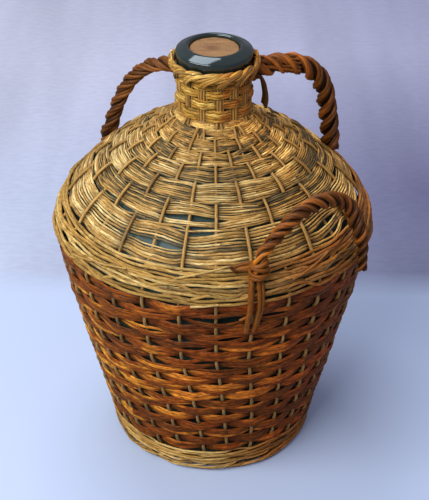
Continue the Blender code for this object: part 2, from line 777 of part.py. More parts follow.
bottle()
cork()
base_sticks()
base_rows()
foot_border()
stake_frame()
woven_rows()
pale_band()
collar_border()
ENVELOPE = casing_envelope()
RIGHT_ROUTE = neck_handle(
    "right_neck_handle",
    RIGHT_HANDLE_AZIMUTH,
    RIGHT_HANDLE_ROPE,
    RIGHT_HANDLE_FOOT,
    RIGHT_HANDLE_REACH,
    RIGHT_HANDLE_LIFT,
    RIGHT_HANDLE_RISE,
    RIGHT_HANDLE_LEAN,
    ENVELOPE,
)
right_handle_tail(RIGHT_ROUTE, ENVELOPE)
neck_handle(
    "left_neck_handle",
    LEFT_HANDLE_AZIMUTH,
    LEFT_HANDLE_ROPE,
    LEFT_HANDLE_FOOT,
    LEFT_HANDLE_REACH,
    LEFT_HANDLE_LIFT,
    LEFT_HANDLE_RISE,
    LEFT_HANDLE_LEAN,
    ENVELOPE,
)
tipping_handle(ENVELOPE)
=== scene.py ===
"""Wicker demijohn, dressed: every willow rod of the casing as its own round strand, round a dark glass
bottle with a cork. Lengths are metres, plus Z is up, and the photographed front faces minus Y."""

import math
import random

import bpy
import numpy as np
from bpy.props import FloatProperty, FloatVectorProperty, IntProperty, PointerProperty
from bpy.types import Operator, Panel, PropertyGroup
from mathutils import Matrix, Vector


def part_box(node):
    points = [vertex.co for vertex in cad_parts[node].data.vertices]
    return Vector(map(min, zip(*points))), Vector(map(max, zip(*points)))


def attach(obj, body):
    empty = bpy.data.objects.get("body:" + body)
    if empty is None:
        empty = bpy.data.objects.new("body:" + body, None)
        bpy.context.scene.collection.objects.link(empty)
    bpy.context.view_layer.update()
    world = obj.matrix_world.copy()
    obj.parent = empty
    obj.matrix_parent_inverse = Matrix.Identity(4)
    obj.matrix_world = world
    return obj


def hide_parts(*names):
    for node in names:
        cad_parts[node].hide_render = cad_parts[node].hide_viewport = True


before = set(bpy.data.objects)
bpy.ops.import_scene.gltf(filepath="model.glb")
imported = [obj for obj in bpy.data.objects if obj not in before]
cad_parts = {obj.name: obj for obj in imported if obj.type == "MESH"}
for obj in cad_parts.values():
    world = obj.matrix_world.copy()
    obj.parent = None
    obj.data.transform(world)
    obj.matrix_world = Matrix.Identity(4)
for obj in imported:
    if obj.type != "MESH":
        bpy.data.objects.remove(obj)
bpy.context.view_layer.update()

bl_info = {
    "name": "Wicker demijohn",
    "version": (1, 0, 0),
    "blender": (4, 5, 0),
    "location": "3D View > Sidebar > Demijohn",
    "description": "Builds a cased glass demijohn rod by rod round its packed frame",
    "category": "Add Mesh",
}

BODY = "demijohn"
CORK_BODY = "cork"
UP = np.array([0.0, 0.0, 1.0])

# The bottle's outer side, which the casing follows, its mouth and its bore; pairs are radius and height
FOOT_LINE_RADIUS = 0.0842
SIDE_FLARE = math.radians(14.4)
SIDE_REACH = 0.180
BULGE = (0.1351, 0.2275)
BULGE_ROUND = 0.016
SHOULDER = (0.0741, 0.3002)
SHOULDER_PITCH = math.radians(34)
SHOULDER_REACH = 0.037
NECK = (0.0268, 0.3386)
NECK_ROUND = 0.0133
LIP_LOW = 0.3765
COLLAR_TOP = 0.3755
MOUTH = 0.396
BORE = 0.0217

# The air between neighbouring rods, the band's width along the casing line, and how much lower the shoulder's
# first course starts than the spacing of the others gives
GAP = 0.0003
BAND_WIDTH = 0.0273
FIRST_ROW_DROP = 0.0072


def bezier(start, start_handle, end_handle, end, count):
    """Points of one Bezier span, with both its ends."""
    t = np.linspace(0.0, 1.0, count + 1)[:, None]
    s = 1.0 - t
    ends = [np.asarray(place, dtype=float) for place in (start, start_handle, end_handle, end)]
    return s**3 * ends[0] + 3 * s * s * t * ends[1] + 3 * s * t * t * ends[2] + t**3 * ends[3]


def run_along(route):
    """How far along a route each of its points lies."""
    return np.concatenate([[0.0], np.cumsum(np.linalg.norm(np.diff(route, axis=0), axis=1))])


def unit(vectors):
    """Vectors cut to length one; the small number keeps an empty one from dividing by nothing."""
    return vectors / (np.linalg.norm(vectors, axis=-1, keepdims=True) + 1e-12)


def casing_line():
    """The bottle's outer side from the floor to the top of the collar, as radius and height."""
    foot = np.array([FOOT_LINE_RADIUS, 0.0])
    flare = np.array([math.sin(SIDE_FLARE), math.cos(SIDE_FLARE)])
    slope = np.array([-math.cos(SHOULDER_PITCH), math.sin(SHOULDER_PITCH)])
    up = np.array([0.0, 1.0])
    bulge, shoulder, neck = (np.array(place) for place in (BULGE, SHOULDER, NECK))
    side = bezier(foot, foot + SIDE_REACH * flare, bulge - GAP * up, bulge, 120)
    over = bezier(bulge, bulge + BULGE_ROUND * up, shoulder - SHOULDER_REACH * slope, shoulder, 120)
    root = bezier(shoulder, shoulder + GAP * slope, neck - NECK_ROUND * up, neck, 60)
    neck_side = np.linspace(neck, (NECK[0], COLLAR_TOP + 0.01), 30)
    return np.concatenate([side, over[1:], root[1:], neck_side[1:]])


LINE = casing_line()
LENGTHS = run_along(LINE)


def smoothed_normals(samples=800, window_size=25):
    """The outward direction along the casing line, evened out over a window of samples."""
    along = np.gradient(LINE, LENGTHS, axis=0)
    even = np.linspace(0.0, LENGTHS[-1], samples)
    window = np.hanning(window_size)
    window /= window.sum()
    parts = []
    for part in (along[:, 1], -along[:, 0]):
        padded = np.pad(np.interp(even, LENGTHS, part), window_size // 2, mode="edge")
        parts.append(np.convolve(padded, window, mode="valid"))
    return even, unit(np.stack(parts, axis=1))


NORMAL_LENGTHS, NORMALS = smoothed_normals()


def at_height(height):
    """The length along the casing line at a height."""
    return float(np.interp(height, LINE[:, 1], LENGTHS))


def round_axis(radius, azimuth, height):
    """Points at radii, azimuths and heights round the bottle's axis."""
    given = (np.asarray(value, float) for value in (radius, azimuth, height))
    radius, azimuth, height = np.broadcast_arrays(*given)
    return np.stack([radius * np.cos(azimuth), radius * np.sin(azimuth), height], axis=-1)


def straight_out(azimuth):
    """The level direction away from the bottle's axis."""
    return round_axis(1.0, azimuth, 0.0)


def on_casing(length, azimuth, offset):
    """Points at lengths along the casing line, azimuths, and offsets outward from the glass."""
    radius = np.interp(length, LENGTHS, LINE[:, 0])
    height = np.interp(length, LENGTHS, LINE[:, 1])
    out = np.interp(length, NORMAL_LENGTHS, NORMALS[:, 0])
    rise = np.interp(length, NORMAL_LENGTHS, NORMALS[:, 1])
    places = round_axis(radius + offset * out, azimuth, height + offset * rise)
    return places, round_axis(out, azimuth, rise)


def split(start, end, count, narrowing=1.0):
    """Course boundaries from start to end, each course narrower than the last by a ratio."""
    widths = narrowing ** np.arange(count)
    return start + (end - start) * np.concatenate([[0.0], np.cumsum(widths) / widths.sum()])


def linear(text):
    """A linear colour from an sRGB hex value."""
    values = [int(text[i : i + 2], 16) / 255 for i in (1, 3, 5)]
    return tuple(v / 12.92 if v <= 0.04045 else ((v + 0.055) / 1.055) ** 2.4 for v in values)


# Zones of the casing, as lengths along the casing line
WALE_TOP = at_height(0.030)
BAND_LOW = at_height(BULGE[1])
BAND_TOP = BAND_LOW + BAND_WIDTH
NECK_ROOT = at_height(NECK[1])
COLLAR_END = at_height(COLLAR_TOP)


class CasingSizes(PropertyGroup):
    """Sizes and counts of the woven casing."""

    stakes: IntProperty(name="Stakes", description="Upright rods", default=28, min=8)
    phase: FloatProperty(
        name="First stake", description="Azimuth of the first", default=math.radians(1.5), subtype="ANGLE"
    )
    lean: FloatProperty(
        name="Lean", description="How far stakes lean at the foot", default=math.radians(7.5), subtype="ANGLE"
    )
    leaning: IntProperty(name="Leaning courses", description="Courses over which the stakes lean", default=12)
    rod: FloatProperty(name="Rod", description="Rod thickness on the body", default=0.0030, unit="LENGTH")
    neck_rod: FloatProperty(
        name="Neck rod", description="Rod thickness at the neck", default=0.0020, unit="LENGTH"
    )
    body_courses: IntProperty(name="Body courses", description="Red-brown courses", default=18)
    shoulder_courses: IntProperty(name="Shoulder courses", description="Greyed courses", default=8)
    shoulder_narrowing: FloatProperty(
        name="Shoulder narrowing", description="Width ratio of courses", default=0.87, subtype="FACTOR"
    )
    paired_courses: IntProperty(name="Paired courses", description="Shoulder courses over pairs", default=2)
    collar_courses: IntProperty(name="Collar courses", description="Pale courses at the neck", default=4)
    collar_narrowing: FloatProperty(
        name="Collar narrowing", description="Width ratio of courses", default=0.85, subtype="FACTOR"
    )
    bundle: FloatProperty(
        name="Bundle", description="Spacing of paired stakes", default=0.0023, unit="LENGTH"
    )
    band_rods: IntProperty(name="Band rods", description="Pale rods round the bulge", default=9)
    foot_radius: FloatProperty(
        name="Foot radius", description="Radius of the foot's middle", default=0.0893, unit="LENGTH"
    )
    foot_height: FloatProperty(
        name="Foot border", description="Height of the foot border", default=0.012, unit="LENGTH"
    )


class HandleSizes(PropertyGroup):
    """Thickness of the three rope handles and of the rod wrapped round the hoop's foot."""

    right_rope: FloatProperty(name="Right rope", description="Thick handle", default=0.0195, unit="LENGTH")
    left_rope: FloatProperty(name="Left rope", description="Thin handle", default=0.0140, unit="LENGTH")
    hoop_rope: FloatProperty(name="Hoop rope", description="Tipping hoop", default=0.0158, unit="LENGTH")
    wrap_rod: FloatProperty(
        name="Wrap rod", description="Turns at the hoop's foot", default=0.0037, unit="LENGTH"
    )


class FinishColours(PropertyGroup):
    """Main colours of the rods, the glass, the cork and the floor."""

    pale: FloatVectorProperty(
        name="Pale willow", description="Rods of band and foot", subtype="COLOR", default=linear("#b4873a")
    )
    greyed: FloatVectorProperty(
        name="Greyed willow", description="Rods of the shoulder", subtype="COLOR", default=linear("#bb8e44")
    )
    golden: FloatVectorProperty(
        name="Golden willow", description="Rods of the collar", subtype="COLOR", default=linear("#b97f1f")
    )
    red: FloatVectorProperty(
        name="Buff willow", description="Rods of the body", subtype="COLOR", default=linear("#84350a")
    )
    rope: FloatVectorProperty(
        name="Handle willow", description="Rods of the handles", subtype="COLOR", default=linear("#633813")
    )
    stake: FloatVectorProperty(
        name="Stake willow", description="Upright stakes", subtype="COLOR", default=linear("#a8844a")
    )
    glass: FloatVectorProperty(
        name="Glass", description="Blown bottle", subtype="COLOR", default=linear("#222c28")
    )
    cork: FloatVectorProperty(
        name="Cork", description="Bung in the mouth", subtype="COLOR", default=linear("#a67c50")
    )
    floor: FloatVectorProperty(
        name="Floor", description="Floor and backdrop", subtype="COLOR", default=linear("#c8dafb")
    )


def casing():
    """The casing's sizes."""
    return bpy.context.scene.demijohn_casing


def handles():
    """The handles' sizes."""
    return bpy.context.scene.demijohn_handles


def colours():
    """The finishes' colours."""
    return bpy.context.scene.demijohn_colours


# Willow rods


def rod_at(length):
    """The thickness of a layer of rods, which thins from the band's top edge to the mouth."""
    share = np.clip((np.asarray(length) - BAND_TOP) / (COLLAR_END - BAND_TOP), 0.0, 1.0)
    return casing().rod + share * (casing().neck_rod - casing().rod)


def outer_offset(length):
    """How far the outside of the woven casing lies outside the glass."""
    return 3 * rod_at(length) + 3 * GAP


def middle_offset(length):
    """How far the middle of a stake lies outside the glass."""
    return 1.5 * rod_at(length) + 2 * GAP


def spacing():
    """The angle from one stake to the next."""
    return 2 * math.pi / casing().stakes


def lean(length):
    """How far the stakes lean round the casing at a length, towards the foot."""
    end = WALE_TOP + (BAND_LOW - WALE_TOP) * casing().leaning / casing().body_courses
    return casing().lean * np.clip((end - np.asarray(length)) / (end - WALE_TOP), 0.0, 1.1)


def shoulder_edges():
    """Boundaries of the shoulder's courses; the first reaches further down than the spacing of the rest."""
    low = BAND_TOP + FIRST_ROW_DROP
    edges = split(low, NECK_ROOT, casing().shoulder_courses, casing().shoulder_narrowing)
    edges[0] = BAND_TOP
    return edges


def collar_edges():
    """Boundaries of the collar's courses."""
    return split(NECK_ROOT, COLLAR_END, casing().collar_courses, casing().collar_narrowing)


def drawn_share(length):
    """How far the stakes are drawn together in pairs at a length."""
    start = shoulder_edges()[-1 - casing().paired_courses]
    return np.clip((np.asarray(length) - start) / (NECK_ROOT - start), 0.0, 1.0)


def pair_azimuth(pair):
    """The middle between the two stakes of a pair."""
    return casing().phase + pair * 2 * spacing() - spacing() / 2


def stake_azimuth(index, length):
    """Where a stake stands: evenly spaced, and drawn together in pairs round the neck."""
    side = -1 if index % 2 else 1
    neck_half = casing().bundle / 2 / (NECK[0] + middle_offset(NECK_ROOT))
    half = spacing() / 2 + drawn_share(length) * (neck_half - spacing() / 2)
    return pair_azimuth((index + 1) // 2) + side * half + lean(length)


def in_scene(name, data):
    """A new object of the given data, in the scene."""
    made = bpy.data.objects.new(name, data)
    bpy.context.scene.collection.objects.link(made)
    return made


class Rods:
    """Round rods gathered into one mesh, with a map along each rod and a tone for each."""

    # Metres that a full step of tone shifts a rod's pattern, so that neighbours differ
    MAP_SHIFT = 7.3

    def __init__(self, sides=8):
        self.sides = sides
        self.places = []
        self.faces = []
        self.map = []
        self.tone = []
        self.shade = []
        self.count = 0

    def add(self, route, outward, radius, tone, shade=1.0, flat=1.0, caps=True):
        """Adds one rod along a route; outward is the side that flat thins."""
        route = np.asarray(route, float)
        count, sides = len(route), self.sides
        along = unit(np.gradient(route, axis=0))
        outward = np.broadcast_to(np.asarray(outward, float), route.shape)
        out = unit(outward - (outward * along).sum(1)[:, None] * along)
        side = np.cross(along, out)
        turns = np.arange(sides)[:, None] * 2 * math.pi / sides
        ring = np.cos(turns) * side[:, None, :] + flat * np.sin(turns) * out[:, None, :]
        radius = np.broadcast_to(np.asarray(radius, float), (count,))
        places = route[:, None, :] + ring * radius[:, None, None]
        self.places.append(places.reshape(-1, 3))
        rings = np.arange(count - 1)[:, None] * sides
        here = rings + np.arange(sides)
        beside = rings + (np.arange(sides) + 1) % sides
        # Corners run so that each face points out of the rod
        quads = np.stack([here, here + sides, beside + sides, beside], axis=-1).reshape(-1, 4) + self.count
        self.faces += quads.tolist()
        # Along the map the rod counts metres, from a place of its own that its tone sets
        run = run_along(route) + self.MAP_SHIFT * np.mean(tone)
        low = np.broadcast_to(run[:-1, None], here.shape)
        high = np.broadcast_to(run[1:, None], here.shape)
        left = np.broadcast_to(np.arange(sides) / sides, here.shape)
        right = left + 1.0 / sides
        corners = np.stack([low, left, high, left, high, right, low, right], axis=-1)
        self.map.append(corners.reshape(-1, 2))
        if caps:
            corner_numbers = range(self.count, self.count + count * sides)
            self.faces += [list(corner_numbers[:sides]), list(corner_numbers[: -sides - 1 : -1])]
            self.map.append(np.repeat([[run[0], 0.5], [run[-1], 0.5]], sides, axis=0))
        for store, value in ((self.tone, tone), (self.shade, shade)):
            store.append(np.repeat(np.broadcast_to(np.asarray(value, float), (count,)), sides))
        self.count += count * sides

    def piece(self, name, material):
        """The rods as one object."""
        data = bpy.data.meshes.new(name)
        data.from_pydata(np.concatenate(self.places).tolist(), [], self.faces)
        data.uv_layers.new(name="Rod").data.foreach_set("uv", np.concatenate(self.map).ravel())
        for key, values in (("tone", self.tone), ("shade", self.shade)):
            data.attributes.new(key, "FLOAT", "POINT").data.foreach_set("value", np.concatenate(values))
        data.shade_smooth()
        data.set_sharp_from_angle(angle=math.radians(65))
        data.materials.append(material)
        return in_scene(name, data)


def keep(piece, slot, *nodes, body=BODY):
    """Ties a finished piece to its body and hides the nodes that it stands for; slot is not used."""
    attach(piece, body)
    if nodes:
        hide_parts(*nodes)


def wander(rng, turns, amount, waves=(3, 7, 16)):
    """A slow random wander round the casing."""
    total = np.zeros_like(turns)
    for wave in waves:
        total += amount / len(waves) * np.sin(wave * turns + rng.uniform(0, 2 * math.pi))
    return total


def pass_count(turns, course, paired):
    """How many stakes, or pairs of them, a course has come past."""
    stand = (turns - casing().phase) / spacing()
    if paired:
        stand = (stand + 0.5) / 2
    return stand + course


def arcs(rng, pieces):
    """Splits the circle into overlapping arcs, as a course is made of several rods."""
    start = rng.uniform(0, 2 * math.pi)
    length = 2 * math.pi / pieces
    overlap = spacing() * 1.1
    return [(start + i * length, start + (i + 1) * length + overlap) for i in range(pieces)]


def along_arc(start, end, per_stake):
    """Azimuths along an arc, so many from one stake to the next."""
    return np.linspace(start, end, max(24, int((end - start) / spacing() * per_stake)))


def weave_offset(length):
    """How far the middle of the weave lies outside the glass, once the rods are drawn tight."""
    return middle_offset(length) + 0.38 * rod_at(length)


def woven_course(rods, rng, low, high, course, count, style, paired=False, gaps=()):
    """A pack of rods that passes in front of and behind the stakes in turn."""
    middle = (low + high) / 2
    width = high - low
    thick = width / count
    rod = rod_at(middle)
    passes = casing().stakes // (4 if paired else 2)
    lie = np.array([[rng.uniform(-1, 1) for _ in range(3)] for _ in range(passes)])
    for number in range(count):
        share = (number + 0.5) / count - 0.5
        for start, end in arcs(rng, style["arcs"]):
            turns = along_arc(start, end, per_stake=11)
            passed = pass_count(turns - lean(middle), course, paired)
            side = -np.cos(math.pi * passed)
            # Each pass in front of a stake has its own tone, slant and place, met behind the next stake
            tones, slants, fans = lie[np.floor(passed / 2).astype(int) % passes].T
            within = passed - 2 * np.floor(passed / 2) - 1
            straight = within * (1 - within**8)
            open_part = np.clip(2.5 * np.cos(math.pi * within / 2), 0, 1)
            crest = np.arcsin(style["crest"] * side) / math.asin(style["crest"])
            # The pack is drawn tight behind a stake, and its rods are pressed thinner there
            squeeze = style["squeeze"] * np.clip(-side, 0, 1) ** 1.5
            length = middle + share * width * (style["spread"] - squeeze)
            length += wander(rng, turns, style["wobble"], (3, 9, 19, 31))
            length += width * style["slant"] * (slants + 3 * share * fans) * straight
            uneven = rng.uniform(*style["uneven"])
            radius = style["fill"] * thick / 2 * np.linspace(1.1, 0.9, len(turns)) * uneven
            radius = radius * (1.0 - 0.35 * squeeze)
            for centre, half, at, gap in gaps:
                away = np.angle(np.exp(1j * (turns - centre))) / half
                push = np.clip(1 - away**2, 0, 1)
                length += np.sign(share - at) * push * gap / 2 * (1 - 0.9 * abs(share - at))
                radius = radius * (1 - 0.12 * push)
            offset = weave_offset(middle) + style["swing"] * rod * crest
            offset += wander(rng, turns, style["loose"], (5, 13, 29)) + abs(share) * style["arch"] * rod
            route, outward = on_casing(length, turns, offset)
            tone = rng.random() + style["patch"] * tones * open_part + wander(rng, turns, 0.4, (5, 11, 23))
            tone = np.clip(tone, 0, 1) ** style["few"]
            shade = 1 - style["shade"] * np.clip(-crest, 0, 1) ** 2
            rods.add(route, outward, radius, tone, shade, style["flat"])


def course_gaps(table, course):
    """The gaps of one course: azimuth and half width as angles, share of the width, and gap."""
    own = [gap[1:] for gap in table if gap[0] == course]
    return [(math.radians(azimuth), math.radians(half), share, gap) for azimuth, half, share, gap in own]


def keep_course(rods, zone, course, key, slot):
    """Makes a course's rods a piece and ties it to its row of the frame."""
    number = f"{course + 1:02d}"
    keep(rods.piece(f"{zone}_course_{number}", finish(key)), slot, f"{zone}_row_{number}")


# How each zone is woven. Arcs are the rods that one turn takes. Spread, squeeze, fill, flat, uneven and arch
# shape the pack of rods; crest and swing are how sharply and how far it passes in and out of the stakes;
# wobble, loose and slant stray along and off the casing; shade, patch and few set shadow and tone.
BODY_STYLE = {
    "arcs": 2, "spread": 0.99, "squeeze": 0.38, "crest": 0.96, "swing": 0.52, "fill": 1.14, "flat": 0.52,
    "shade": 0.9, "wobble": 0.0007, "loose": 0.0004, "arch": -0.2, "uneven": (0.7, 1.2), "slant": 0.08,
    "patch": 0.25, "few": 1.5,
}
SHOULDER_STYLE = {
    "arcs": 3, "spread": 0.99, "squeeze": 0.05, "crest": 0.93, "swing": 0.38, "fill": 0.90, "flat": 0.9,
    "shade": 0.9, "wobble": 0.0004, "loose": 0.0006, "arch": -0.15, "uneven": (0.6, 1.25), "slant": 0.06,
    "patch": 0.34, "few": 1.1,
}
COLLAR_STYLE = {
    "arcs": 1, "spread": 0.94, "squeeze": 0.24, "crest": 0.9, "swing": 0.64, "fill": 0.94, "flat": 0.9,
    "shade": 0.95, "wobble": 0.0006, "loose": 0.0004, "arch": -0.15, "uneven": (0.8, 1.15), "slant": 0.05,
    "patch": 0.2, "few": 1.1,
}


# Finishes


WHITE = (1.0, 1.0, 1.0)
TINT = {"data_type": "RGBA", "blend_type": "MULTIPLY"}
BLEND = {"data_type": "RGBA", "blend_type": "MIX"}


def plug(tree, node, inputs):
    """Links a node's inputs to sockets, or sets them to values and colours."""
    for key, value in inputs.items():
        socket = node.inputs[key]
        if isinstance(value, bpy.types.NodeSocket):
            tree.links.new(value, socket)
        else:
            socket.default_value = (*value, 1.0) if socket.type == "RGBA" else value


def add_node(tree, kind, inputs=None, stops=(), **settings):
    """Adds one node with its settings, inputs and, on a colour ramp, stops in order; gives its outputs."""
    made = tree.nodes.new("ShaderNode" + kind)
    for key, value in settings.items():
        setattr(made, key, value)
    for number, (position, colour) in enumerate(stops):
        elements = made.color_ramp.elements
        element = elements[number] if number < len(elements) else elements.new(position)
        element.position = position
        element.color = (*colour, 1.0)
    plug(tree, made, inputs or {})
    return made.outputs


def new_finish(name):
    """A new Principled material, its node tree and its shader."""
    made = bpy.data.materials.new(name)
    made.use_nodes = True
    return made, made.node_tree, made.node_tree.nodes["Principled BSDF"]


def tinted(tree, base, source, stops, share=1.0):
    """A colour multiplied by a tint that follows a value through stops."""
    tint = add_node(tree, "ValToRGB", {"Fac": source}, stops)["Color"]
    return add_node(tree, "Mix", {0: share, 6: base, 7: tint}, **TINT)[2]


def scaled(colour, factor):
    """A colour made lighter or darker."""
    return tuple(min(1.0, channel * factor) for channel in colour)


# The willow's pattern, in cells to the metre along a rod and to the turn round it: patches 22 mm long, and
# fibres 6 mm long and a twelfth of the way round, coarser than real ones so that they show
PATCHES = (45.0, 2.0, 1.0)
FIBRES = (160.0, 12.0, 1.0)
FIBRE_DEPTH = 0.0004
# Weather stains are clouds of about 45 mm, the same on neighbouring rods
STAINS = 22.0


def willow(
    name, light, main, dark, roughness, streak=0.5, zones=(), right_painted_light=(1.0, 0.8, 0.65), turned=0.75, deep=0.65,
    grain=2.4, gloss=0.32, far=WHITE,
):
    """Peeled willow rod: satin, streaked along its length, lighter where hands and shelves rub it.

    Zones tint by height. The right side's tint and far, the left side's tint, are painted light and shade,
    and turned is how far round the right side's tint starts. Deep is how dark the painted shade of hidden
    parts is and grain how strong the fibres."""
    made, tree, shader = new_finish(name)
    light, dark = linear(light), linear(dark)
    tone = add_node(tree, "Attribute", attribute_name="tone")["Fac"]
    shade = add_node(tree, "Attribute", attribute_name="shade")["Fac"]
    rod_map = add_node(tree, "UVMap", uv_map="Rod")["UV"]
    place = add_node(tree, "TexCoord")["Object"]
    along = add_node(tree, "Mapping", {"Vector": rod_map, "Scale": PATCHES})[0]
    cells = {"Vector": along, "Scale": 1.0, "Detail": 3.0, "Roughness": 0.55}
    patches = add_node(tree, "TexNoise", cells)["Fac"]
    across = add_node(tree, "Mapping", {"Vector": rod_map, "Scale": FIBRES})[0]
    cells = {"Vector": across, "Scale": 1.0, "Detail": 2.0, "Roughness": 0.6}
    fibres = add_node(tree, "TexNoise", cells)["Fac"]
    weather = add_node(tree, "TexNoise", {"Vector": place, "Scale": STAINS, "Detail": 3.0})["Fac"]
    tones = [(0.0, dark), (0.22, scaled(main, 0.75)), (0.6, main), (1.0, light)]
    base = add_node(tree, "ValToRGB", {"Fac": tone}, tones)["Color"]
    if zones:
        height = add_node(tree, "SeparateXYZ", {"Vector": place})["Z"]
        share = add_node(tree, "Math", {0: height, 1: MOUTH}, operation="DIVIDE")[0]
        base = tinted(tree, base, share, [(z / MOUTH, colour) for z, colour in zones])
    # Painted light and shade: the sides to the right and to the left are tinted as the light falls on them
    axes = add_node(tree, "SeparateXYZ", {"Vector": place})
    level = add_node(tree, "CombineXYZ", {"X": axes["X"], "Y": axes["Y"]})[0]
    heading = add_node(tree, "VectorMath", {0: level}, operation="NORMALIZE")[0]
    rightward = add_node(tree, "SeparateXYZ", {"Vector": heading})["X"]
    facing = add_node(tree, "Math", {0: rightward, 1: 0.5, 2: 0.5}, operation="MULTIPLY_ADD")[0]
    sides = [(0.1, far), (0.45, WHITE), (0.53, WHITE), (0.5 + turned / 2, right_painted_light)]
    base = tinted(tree, base, facing, sides)
    # Rubbed patches are lighter and weather stains darker
    marks = ((patches, 1.5, -0.25, streak, light), (weather, 2.4, -0.9, 0.45, dark))
    for source, contrast, shift, strength, colour in marks:
        mark = {0: source, 1: contrast, 2: shift}
        mark = add_node(tree, "Math", mark, operation="MULTIPLY_ADD", use_clamp=True)[0]
        share = add_node(tree, "Math", {0: mark, 1: strength}, operation="MULTIPLY")[0]
        base = add_node(tree, "Mix", {0: share, 6: base, 7: colour}, **BLEND)[2]
    # Fibres darken the rod, and a painted shade darkens its hidden parts, such as the hollows behind the
    # stakes
    fine = add_node(tree, "Math", {0: fibres, 1: grain, 2: 1.0 - grain / 2}, operation="MULTIPLY_ADD")[0]
    shaded = add_node(tree, "Math", {0: shade, 1: deep, 2: 1.0 - deep}, operation="MULTIPLY_ADD")[0]
    depth = add_node(tree, "Math", {0: fine, 1: shaded}, operation="MULTIPLY")[0]
    grey = add_node(tree, "CombineColor", {"Red": depth, "Green": depth, "Blue": depth})[0]
    base = add_node(tree, "Mix", {0: 1.0, 6: base, 7: grey}, **TINT)[2]
    rough = {0: patches, 1: 0.25, 2: roughness - 0.12}
    rough = add_node(tree, "Math", rough, operation="MULTIPLY_ADD")[0]
    ridges = {"Strength": 0.5, "Distance": FIBRE_DEPTH, "Height": fibres}
    bump = add_node(tree, "Bump", ridges)["Normal"]
    plug(tree, shader, {"Base Color": base, "Roughness": rough, "Specular IOR Level": gloss, "Normal": bump})
    return made


FINISHES = {}


def finish(key):
    """The named finish, made once."""
    if key not in FINISHES:
        FINISHES[key] = FINISH_MAKERS[key]()
    return FINISHES[key]


def dark_glass():
    """Thick blown bottle glass: a dark blue-green that looks black where it is thick, with a wet gloss."""
    made, tree, shader = new_finish("dark blown glass")
    colour = colours().glass
    place = add_node(tree, "TexCoord")["Object"]
    height = add_node(tree, "SeparateXYZ", {"Vector": place})["Z"]
    # The blowing left shallow waves about 26 mm across
    waves = add_node(tree, "TexNoise", {"Vector": place, "Scale": 38.0, "Detail": 2.0})["Fac"]
    depths = [(0.3, scaled(colour, 0.55)), (0.7, scaled(colour, 1.2))]
    base = add_node(tree, "ValToRGB", {"Fac": waves}, depths)["Color"]
    # Up to the collar dust dulls the glass, and dust and a painted light lighten it against the casing's
    # shade; the lip above it is clean
    share = add_node(tree, "Math", {0: height, 1: MOUTH}, operation="DIVIDE")[0]
    base = tinted(tree, base, share, [(0.88, (3.0, 3.4, 3.3)), (0.95, WHITE)])
    clean = {"Value": height, "From Min": 0.35, "From Max": 0.375}
    rough = add_node(tree, "MapRange", {**clean, "To Min": 0.4, "To Max": 0.09})["Result"]
    gloss = add_node(tree, "MapRange", {**clean, "To Min": 0.16, "To Max": 0.5})["Result"]
    bump = add_node(tree, "Bump", {"Strength": 0.15, "Distance": 0.0012, "Height": waves})["Normal"]
    plug(tree, shader, {"Base Color": base, "Roughness": rough, "Specular IOR Level": gloss, "Normal": bump})
    plug(tree, shader, {"IOR": 1.75, "Specular Tint": (0.74, 0.87, 0.97)})
    return made


def cork_bark():
    """Cut cork: tan and dry, with darker streaks along its growth rings and small dark pores."""
    made, tree, shader = new_finish("cut cork")
    colour = colours().cork
    place = add_node(tree, "TexCoord")["Object"]
    # Growth rings 17 mm long and 2.4 mm apart, grain of 1.1 mm and pores 4 mm apart
    streaks = add_node(tree, "Mapping", {"Vector": place, "Scale": (60.0, 420.0, 60.0)})[0]
    cells = {"Vector": streaks, "Scale": 1.0, "Detail": 4.0, "Roughness": 0.6}
    rings = add_node(tree, "TexNoise", cells)["Fac"]
    grain = add_node(tree, "TexNoise", {"Vector": place, "Scale": 900.0, "Detail": 3.0})["Fac"]
    pores = add_node(tree, "TexVoronoi", {"Vector": place, "Scale": 260.0})["Distance"]
    shares = ((0.3, 0.55), (0.42, 0.85), (0.6, 1.0), (0.8, 1.15))
    tans = [(position, scaled(colour, share)) for position, share in shares]
    base = add_node(tree, "ValToRGB", {"Fac": rings}, tans)["Color"]
    # Darker where the tool and the thumb have worn the middle, which is 12 mm wide
    middle = {0: place, 1: (-0.002, 0.0, MOUTH)}
    away = add_node(tree, "VectorMath", middle, operation="DISTANCE")["Value"]
    away = add_node(tree, "Math", {0: away, 1: 0.012}, operation="DIVIDE")[0]
    ragged = add_node(tree, "Math", {0: rings, 1: 0.45}, operation="ADD")[0]
    worn = add_node(tree, "Math", {0: away, 1: ragged}, operation="MULTIPLY")[0]
    base = tinted(tree, base, worn, [(0.25, (0.62, 0.56, 0.52)), (0.75, WHITE)])
    base = tinted(tree, base, grain, [(0.3, (0.55, 0.5, 0.45)), (0.6, WHITE)], 0.5)
    base = tinted(tree, base, pores, [(0.0, (0.25, 0.18, 0.13)), (0.16, WHITE)], 0.8)
    bump = add_node(tree, "Bump", {"Strength": 0.6, "Distance": 0.0006, "Height": grain})["Normal"]
    plug(tree, shader, {"Base Color": base, "Roughness": 0.75, "Normal": bump})
    return made


def pale_willow():
    """White willow, peeled fresh: the palest rods, browner at the very bottom, with painted shade that browns
    them to the right.
    """
    return willow(
        "peeled white willow", "#dcc07c", colours().pale, "#4a2c0c", 0.48, 0.4,
        zones=((0.02, (1.05, 0.93, 0.8)), (0.06, WHITE)), right_painted_light=(0.84, 0.33, 0.03),
        turned=0.6, grain=3.2, gloss=0.14,
    )


def greyed_willow():
    """Thin willow that has stood in the weather: greyed and dry, yellower towards the neck, with painted
    light that brightens it to the right.
    """
    return willow(
        "weathered thin willow", "#f0d490", colours().greyed, "#2e1a08", 0.5, 0.32, deep=0.75,
        zones=((0.31, WHITE), (NECK[1], (0.95, 0.78, 0.45))), right_painted_light=(1.55, 1.32, 0.9), grain=3.6, gloss=0.25,
    )


def golden_willow():
    """Split willow, sheltered by the lip: a clear golden yellow, with painted shade that turns it deep brown
    to the right.
    """
    return willow(
        "golden split willow", "#ebc86c", colours().golden, "#3c1a04", 0.36,
        right_painted_light=(0.78, 0.27, 0.02), turned=0.28, deep=0.9, grain=3.0, gloss=0.1,
    )


